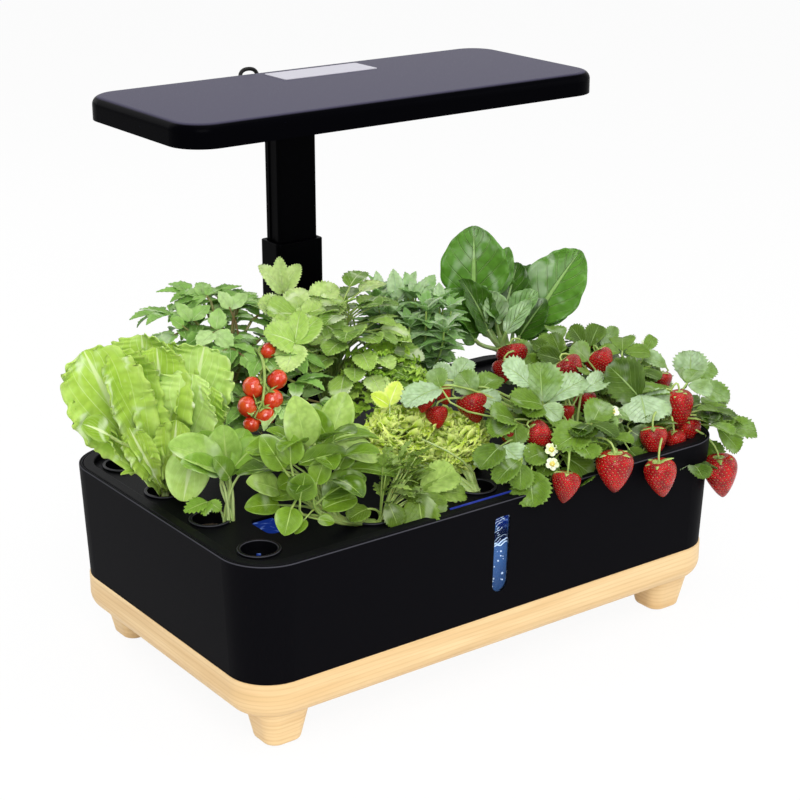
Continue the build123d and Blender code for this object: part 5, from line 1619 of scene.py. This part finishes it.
class RearStrawberry(Strawberry):
    """The plant behind it, in front of the chard."""

    label = "strawberry_rear"
    pod = 10
    middle = (205, 36, 200)
    drop = 28.0
    rows = [
        ((205, 12, 194), (196, 20, 211), 16, 0.8), ((212, 12, 192), (229, 20, 206), 17, 0.75),
        ((180, 14, 192), (176, 22, 208), 14, 0.7), ((178, 8, 186), (150, 10, 198), 18, 0.8),
        ((220, 12, 186), (250, 16, 191), 16, 0.2), ((232, 12, 188), (242, 14, 204), 12, 0.25),
        ((170, 18, 192), (159, 26, 201), 15, 0.8), ((204, 10, 180), (229, 8, 172), 16, 0.6),
        ((156, 12, 184), (142, 16, 193), 15, 0.5), ((244, 10, 182), (222, 10, 194), 16, 0.1),
        ((168, 30, 184), (146, 36, 196), 20, 0.25),
    ]
    berries = [
        Berry((148, 38, 186), 14.6, 26, (-0.1, -0.5, -0.8)),
        Berry((126, 24, 183), 10.0, 20, (-0.3, -0.4, -0.8)),
        Berry((220, 20, 192), 5.2, 10),
    ]


# ---------------------------------------------------------------- the device
@dataclass
class GrowSponges:
    """The porous sponges in the planted baskets, modelled once and copied; shares are of the top's radius."""

    foot: float = 0.72
    top: float = 0.985
    rim: float = 1.6
    swell_share: float = 0.45
    swell: float = 0.8
    dent_share: float = 0.22
    dent: float = 3.0
    edge: float = 0.7
    rough: float = 0.35

    def build(self, nodes: dict[str, bpy.types.Object], finish: bpy.types.Material) -> None:
        """Model one sponge on the first CAD one's size and copy it to every planted pod."""
        planted = [n for n in POD_NUMBERS if f"sponge_{n:02d}" in nodes]
        low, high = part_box(f"sponge_{planted[0]:02d}")
        middle = (low + high) / 2
        radius = (high.x - low.x) / 2
        bpy.ops.mesh.primitive_cone_add(vertices=28, radius1=radius * self.foot, radius2=radius * self.top,
                                        depth=high.z - low.z, location=middle, end_fill_type="NGON")
        pattern = bpy.context.object
        settle(pattern)
        edit(pattern, "FACE")
        bpy.ops.mesh.select_all(action="DESELECT")
        leave_edit()
        for face in pattern.data.polygons:
            face.select = face.normal.z > 0.9
        bpy.ops.object.mode_set(mode="EDIT")
        bpy.ops.mesh.inset(thickness=self.rim * MM)
        bpy.ops.mesh.inset(thickness=radius * self.swell_share)
        bpy.ops.transform.translate(value=(0, 0, self.swell * MM))
        bpy.ops.mesh.inset(thickness=radius * self.dent_share)
        bpy.ops.transform.translate(value=(0, 0, -self.dent * MM))
        leave_edit()
        apply_modifier(pattern, "BEVEL", width=self.edge * MM, segments=2, limit_method="ANGLE")
        rows = points_of(pattern.data)
        dice = np.random.default_rng(7)
        rows[:, 2] += dice.uniform(-1, 0, len(rows)) * self.rough * MM * (rows[:, 2] > middle.z)
        put_points(pattern.data, rows)
        mesh = take_mesh(pattern)
        for n in planted:
            place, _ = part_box(f"sponge_{n:02d}")
            copy = mesh.copy()
            put_points(copy, points_of(copy) + np.array(place - low))
            copy.materials.append(finish)
            piece = add_object(f"grow_sponge_{n:02d}", copy)
            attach(piece, f"pod_{n:02d}")
            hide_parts(f"sponge_{n:02d}")
        log.info("sponges: %d", len(planted))


@dataclass
class TankWater:
    """The nutrient water in the tank, round the baskets, with bubbles behind the window."""

    floor: float = 63.0
    length: float = 438.0
    depth: float = 260.0
    corner: float = 28.0
    basket_room: float = 16.5
    strip: Point = (83.0, 0.8, 2.3)
    strip_at: Point = (0.0, -117.4, 146.55)
    strip_blue: Colour = (0.014, 0.026, 0.20)
    bubble_count: int = 15
    bubble_size: Pair = (0.3, 0.8)
    wave_count: int = 13
    first_wave: float = -0.4
    wave_pitch: float = 1.9
    full_waves: int = 2
    full_radius: float = 0.5
    thin_radius: Pair = (0.12, 0.26)

    def build(self, water: bpy.types.Material, foam: bpy.types.Material) -> None:
        """Model the body of water, cut the baskets out of it and add the bubbles."""
        bpy.ops.object.select_all(action="DESELECT")
        body = self.block((self.length, self.depth, WATER_LEVEL - self.floor),
                          (0, 0, (WATER_LEVEL + self.floor) / 2))
        edit(body, "EDGE")
        bpy.ops.mesh.select_all(action="DESELECT")
        leave_edit()
        corners = body.data.vertices
        for line in body.data.edges:
            a, b = (corners[i].co for i in line.vertices)
            line.select = abs(a.z - b.z) > 0.01
        bpy.ops.object.mode_set(mode="EDIT")
        bpy.ops.mesh.bevel(offset=self.corner * MM, segments=6)
        leave_edit()
        cutters = []
        for n in POD_NUMBERS:
            low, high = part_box(f"basket_{n:02d}")
            bpy.ops.mesh.primitive_cylinder_add(vertices=24, radius=self.basket_room * MM, depth=0.1,
                                                location=((low.x + high.x) / 2, (low.y + high.y) / 2, 0.15))
            cutters.append(bpy.context.object)
        select_only(*cutters)
        bpy.ops.object.join()
        cutter = bpy.context.object
        apply_modifier(body, "BOOLEAN", operation="DIFFERENCE", object=cutter, solver="EXACT")
        bpy.data.objects.remove(cutter)
        body.name = "tank_water"
        body.data.materials.append(water)
        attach(body, "base")
        self.gauge()
        self.bubbles(foam)
        log.info("tank_water: %d faces", len(body.data.polygons))

    def block(self, size: Point, at: Point) -> bpy.types.Object:
        """Model a block of this size round a place, both in millimetres."""
        bpy.ops.mesh.primitive_cube_add(size=1.0, location=tuple(c * MM for c in at))
        piece = bpy.context.object
        piece.scale = tuple(c * MM for c in size)
        settle(piece)
        return piece

    def gauge(self) -> None:
        """Stand the gauge's thin blue light strip along the rear wall of the deck's slot."""
        strip = self.block(self.strip, self.strip_at)
        apply_modifier(strip, "BEVEL", width=0.2 * MM, segments=2)
        strip.name = "gauge_strip"
        # The strip lies wholly in the finish's shaded band towards the front, so its whole colour is
        # strip_blue.
        strip.data.materials.append(Water("gauge_blue", painted_shade_tone=self.strip_blue).make())
        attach(strip, "deck")

    def bubbles(self, foam: bpy.types.Material) -> None:
        """Model the bubbles and the thin wave lines just behind the window."""
        low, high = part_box("window_lens")
        dice = random.Random(5)
        bpy.ops.mesh.primitive_ico_sphere_add(subdivisions=2, radius=1.0)
        pattern = bpy.context.object
        rows = points_of(pattern.data)
        mesh = take_mesh(pattern)
        made = []
        for _ in range(self.bubble_count):
            size = dice.uniform(*self.bubble_size) * MM
            x = dice.uniform(low.x + 0.005, high.x - 0.005)
            z = low.z + 0.008 + (WATER_LEVEL * MM - low.z - 0.012) * dice.random()
            copy = mesh.copy()
            put_points(copy, rows * size + np.array((x, low.y + 0.0058, z)))
            made.append(add_object("bubble", copy))
        line = new_wire("wave_lines", MM)
        width = high.x - low.x - 0.006
        for k in range(self.wave_count):
            full = k < self.full_waves
            lift = self.first_wave + self.wave_pitch * k
            start, end = (0.0, 1.0) if full else sorted((dice.uniform(0, 0.5), dice.uniform(0.5, 1)))
            spots, radii = [], []
            for step in range(10):
                share = start + (end - start) * step / 9
                wave = 0.9 * math.sin(7 * share + k) + 0.5 * math.sin(17 * share + 2 * k) + 2.4 * (share - 0.5)
                spots.append((low.x + 0.003 + width * share, low.y + 0.0056, (WATER_LEVEL + lift + wave) * MM))
                radii.append(self.full_radius if full else dice.uniform(*self.thin_radius))
            add_run(line, spots, radii)
        piece = join("water_bubbles", [*made, wire_mesh(line)], foam)
        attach(piece, "base")


@dataclass
class LampLead:
    """The short lead that loops behind the lamp head into the collar."""

    diameter: float = 3.2
    route: tuple[Point, ...] = (
        (-27.0, 148.1, 426.5),
        (-27.0, 157.0, 426.5),
        (-29.0, 159.0, 436.5),
        (-43.0, 159.0, 436.5),
        (-45.0, 157.0, 426.5),
        (-45.0, 157.0, 407.5),
        (-37.0, 155.0, 395.5),
        (-24.6, 155.0, 395.5),
    )

    def build(self, finish: bpy.types.Material) -> None:
        """Draw the lead as one smooth spline on its route."""
        line = new_wire("lamp_lead_cord", self.diameter / 2 * MM, sides=4)
        line.resolution_u = 10
        run = add_run(line, [Vector(point) * MM for point in self.route], [1.0] * len(self.route), "NURBS")
        run.order_u = 3
        run.use_endpoint_u = True
        piece = add_object("lamp_lead_cord", line)
        line.materials.append(finish)
        copy = line.copy()
        copy.bevel_depth = 0.0
        probe = add_object("lead_probe", copy)
        bpy.context.view_layer.update()
        mesh = bpy.data.meshes.new_from_object(probe)
        bpy.data.objects.remove(probe)
        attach(piece, "lamp")
        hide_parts("lamp_lead")


class Device:
    """The garden's own shell: every CAD node that stays gets its finish.

    A plastic is given by its colour, its least and most roughness, the scale and depth in millimetres of its
    texture, and its shine.
    """

    # The colour of the painted highlight along the rounded top edge of the tank and of the baskets.
    edge: Colour = (0.055, 0.055, 0.066)
    finishes = {
        "black_shell": Plastic("black_shell", (0.0026, 0.0025, 0.0036), (0.46, 0.56), 1500, 0.012, 0.022),
        "black_deck": Plastic("black_deck", (0.0036, 0.0037, 0.0046), (0.42, 0.52), 1100, 0.02, 0.045),
        "black_basket": Plastic("black_basket", (0.0026, 0.0026, 0.0034), (0.30, 0.40), 1300, 0.015, 0.11),
        "mast_metal": Plastic("mast_metal", (0.0006, 0.0006, 0.0010), (0.30, 0.40), 1200, 0.01, 0.012),
        "pale_plate": Plastic("pale_plate", (0.46, 0.45, 0.515), (0.28, 0.38), 900, 0.01, 0.25),
        "inlet_plastic": Plastic("inlet_plastic", (0.008, 0.008, 0.008), (0.2, 0.3), 800, 0.01, 0.3),
        "pump_plastic": Plastic("pump_plastic", (0.012, 0.012, 0.015), (0.4, 0.5), 900, 0.03, 0.2),
        "rotor_plastic": Plastic("rotor_plastic", (0.06, 0.06, 0.07), (0.35, 0.5), 900, 0.02, 0.3),
        "shaft_ceramic": Plastic("shaft_ceramic", (0.78, 0.77, 0.72), (0.12, 0.2), 600, 0.005, 0.5),
        "pad_rubber": Plastic("pad_rubber", (0.02, 0.02, 0.02), (0.7, 0.85), 700, 0.06, 0.2),
        "lead_rubber": Plastic("lead_rubber", (0.006, 0.006, 0.006), (0.45, 0.6), 700, 0.03, 0.2),
        "pale_wood": Wood(),
        "screw_steel": Metal("screw_steel", (0.62, 0.62, 0.63)),
        "board_metal": Metal("board_metal", (0.86, 0.86, 0.87), (0.35, 0.5)),
        "clear_window": Clear(),
        "frosted_panel": Frosted(),
    }

    def __init__(self, frame: dict) -> None:
        """Remember the frame's nodes and the record's slots, and make the finishes that depend on a height."""
        self.nodes = frame["nodes"]
        self.slots = {row["node"]: row["material_slot"] for row in frame["record"]["subparts"]}
        # The lamp paint's painted reflection and the painted edge highlight on the tank and the baskets both
        # depend on a height.
        self.made = {"lamp_shell": LampPaint(top=self.top_of("lamp_housing")).make()}
        for slot, node in (("black_shell", "water_tank"), ("black_basket", "basket_01")):
            with_highlight = replace(self.finishes[slot], edge=self.edge, top=self.top_of(node))
            self.made[slot] = with_highlight.make()

    def top_of(self, node: str) -> float:
        """The height of a node's highest point."""
        return max(corner.co.z for corner in self.nodes[node].data.vertices)

    def material(self, slot: str) -> bpy.types.Material:
        """The finish of a slot, made once."""
        if slot not in self.made:
            self.made[slot] = self.finishes[slot].make()
        return self.made[slot]

    def dress(self) -> None:
        """Give each CAD node that stays its finish."""
        for name, node in self.nodes.items():
            slot = self.slots[name]
            if slot in self.finishes or slot in self.made:
                material = self.material(slot)
                if not node.material_slots:
                    node.data.materials.append(material)
                for place in node.material_slots:
                    place.material = material
        log.info("dressed nodes: %d", len(self.nodes))


# ---------------------------------------------------------------- studio
@dataclass(frozen=True)
class SoftLamp:
    """A square soft lamp that faces a target, all in metres and watts."""

    name: str
    at: Point
    target: Point
    size: float
    power: float

    def hang(self) -> None:
        """Put the lamp into the scene."""
        data = bpy.data.lights.new(self.name, "AREA")
        data.size = self.size
        data.energy = self.power
        lamp = add_object(self.name, data)
        lamp.location = self.at
        lamp.rotation_euler = (Vector(self.target) - Vector(self.at)).to_track_quat("-Z", "Y").to_euler()


@dataclass
class Studio:
    """Floor, lamps, world and camera."""

    azimuth: float = -36.2639
    elevation: float = 19.6854
    lens: float = 85.215
    sensor: float = 36.0
    far: float = 50.0
    eye: Point = (-840.92, -1145.75, 699.55)
    sky: float = 0.55
    floor_size: float = 30.0
    lamps: tuple[SoftLamp, ...] = (
        SoftLamp("key", (-0.9, -1.5, 1.35), (0.0, 0.0, 0.18), 1.1, 25.0),
        SoftLamp("fill", (1.7, -1.0, 0.9), (0.05, -0.05, 0.2), 1.4, 9.0),
        SoftLamp("top", (0.1, -0.25, 2.2), (0.0, 0.0, 0.2), 1.6, 16.0),
        SoftLamp("rear", (-0.6, 1.6, 1.2), (0.0, 0.1, 0.25), 1.2, 8.0),
    )

    def build(self) -> None:
        """Set up the whole studio."""
        self.camera()
        self.floor()
        self.world()
        for lamp in self.lamps:
            lamp.hang()

    def camera(self) -> None:
        """Place the camera."""
        data = bpy.data.cameras.new("view")
        data.sensor_width = self.sensor
        data.lens = self.lens
        data.clip_end = self.far
        eye = add_object("view", data)
        eye.location = Vector(self.eye) * MM
        eye.rotation_euler = (math.radians(90 - self.elevation), 0.0, math.radians(self.azimuth))
        bpy.context.scene.camera = eye

    def floor(self) -> None:
        """Lay the floor."""
        bpy.ops.mesh.primitive_plane_add(size=self.floor_size)
        floor = bpy.context.object
        floor.name = "studio_floor"
        floor.data.materials.append(Ground().make())

    def world(self) -> None:
        """Light the world evenly, and show it white."""
        g = Graph("studio", world=True)
        bpy.context.scene.world = g.owner
        g.finish(Strength=self.sky, Color=WHITE[:3])
        white = g.node("Background", {"Color": WHITE, "Strength": 1.0}).outputs[0]
        g.show(g.seen(), g.shader.outputs[0], white)
        bpy.context.scene.view_settings.view_transform = "Standard"


# Each leaf's finish: its fresh colour, which also serves as the painted highlight of lit leaves, its usual,
# deep and rib colours, its veins, the rib's width and its gloss, then its relief, pale edge that is partly a
# painted highlight, sheen, painted highlight patches, how the veins are raised and the scale of its blisters.
PLANT_FINISHES = (
    Leafage("lettuce_skin", (0.58, 0.80, 0.26), (0.42, 0.62, 0.085), (0.21, 0.36, 0.022),
            (0.74, 0.86, 0.46), Veins.FAN, 0.11, (0.3, 0.46), 0.5, 0.1, 0.08, 0.75, 0.25, 260.0),
    Leafage("curly_skin", (0.84, 0.95, 0.26), (0.60, 0.80, 0.075), (0.27, 0.42, 0.018),
            (0.86, 0.95, 0.40), Veins.FAINT, 0.08, (0.36, 0.52), 0.5, 0.45),
    Leafage("pak_skin", (0.47, 0.66, 0.188), (0.23, 0.41, 0.05), (0.107, 0.20, 0.021),
            (0.44, 0.60, 0.17), Veins.FINE, 0.06, (0.26, 0.4), 0.4, 0.0, 0.1, 0.4),
    Leafage("basil_skin", (0.46, 0.64, 0.17), (0.18, 0.32, 0.022), (0.050, 0.108, 0.005),
            (0.42, 0.60, 0.15), Veins.FAINT, 0.045, (0.2, 0.32), 0.4, 0.12, 0.2, 0.4),
    Leafage("celery_skin", (0.36, 0.52, 0.12), (0.115, 0.20, 0.016), (0.034, 0.066, 0.004),
            (0.32, 0.46, 0.11), Veins.STRAIGHT, 0.05, (0.3, 0.44), 0.6, 0.1, 0.05, 0.3),
    Leafage("mint_skin", (0.60, 0.80, 0.46), (0.27, 0.50, 0.14), (0.055, 0.16, 0.02),
            (0.46, 0.68, 0.40), Veins.STRAIGHT, 0.05, (0.36, 0.5), 0.5, 0.15, 0.1, 0.5),
    Leafage("balm_skin", (0.68, 0.86, 0.34), (0.40, 0.62, 0.115), (0.10, 0.21, 0.018),
            (0.70, 0.88, 0.40), Veins.BOLD, 0.045, (0.34, 0.48), 0.7, 0.15, 0.08, 0.6),
    Leafage("parsley_skin", (0.66, 0.88, 0.20), (0.38, 0.64, 0.06), (0.11, 0.24, 0.014),
            (0.46, 0.68, 0.14), Veins.FAINT, 0.05, (0.34, 0.48), 0.7, 0.3),
    Leafage("tomato_skin", (0.58, 0.82, 0.34), (0.29, 0.54, 0.11), (0.065, 0.17, 0.02),
            (0.52, 0.74, 0.30), Veins.STRAIGHT, 0.05, (0.34, 0.48), 0.6, 0.15, 0.08, 0.6),
    Leafage("chard_skin", (0.42, 0.64, 0.30), (0.115, 0.29, 0.030), (0.020, 0.062, 0.004),
            (0.36, 0.58, 0.17), Veins.PUCKERED, 0.07, (0.22, 0.34), 2.2, 0.0, 0.25, 0.3, -0.8, 150.0),
    Leafage("strawberry_leaf_skin", (0.48, 0.65, 0.40), (0.145, 0.26, 0.024), (0.032, 0.070, 0.004),
            (0.34, 0.50, 0.16), Veins.STRAIGHT, 0.04, (0.3, 0.44), 0.9, 0.12, 0.07, 0.25),
    Stalk("green_stem", (0.44, 0.58, 0.16), (0.24, 0.36, 0.07)),
    Stalk("pale_stem", (0.55, 0.68, 0.28), (0.36, 0.50, 0.13)),
    Stalk("red_stem", (0.30, 0.34, 0.10), (0.20, 0.12, 0.05)),
    Stalk("chard_stem", (0.48, 0.64, 0.26), (0.28, 0.44, 0.10)),
    BerrySkin(),
    FruitSkin("tomato_fruit_skin", (0.66, 0.035, 0.010), (0.80, 0.11, 0.02)),
    FruitSkin("petal_skin", (0.80, 0.84, 0.62), (0.74, 0.80, 0.42)),
    FruitSkin("flower_eye_skin", (0.80, 0.62, 0.10), (0.66, 0.70, 0.12)),
)


def plant_all() -> None:
    """Make the plants' finishes and build every plant."""
    finishes = {finish.name: finish.make() for finish in PLANT_FINISHES}
    berry_kinds = Strawberry.__subclasses__()
    for kind in (LooseLettuce, PakChoi, Basil, CurlyLettuce, *berry_kinds, Chard, Mint, LemonBalm, Tomato):
        kind().build(finishes)


def main() -> None:
    """Build the studio, the device's dress, the lead, the water, the sponges and the plants."""
    logging.basicConfig(level=logging.INFO, format="%(message)s")
    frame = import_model()
    Studio().build()
    device = Device(frame)
    device.dress()
    LampLead().build(device.material("lead_rubber"))
    TankWater().build(Water().make(), Bubbles().make())
    GrowSponges().build(device.nodes, Foam().make())
    plant_all()


if __name__ == "__main__":
    main()
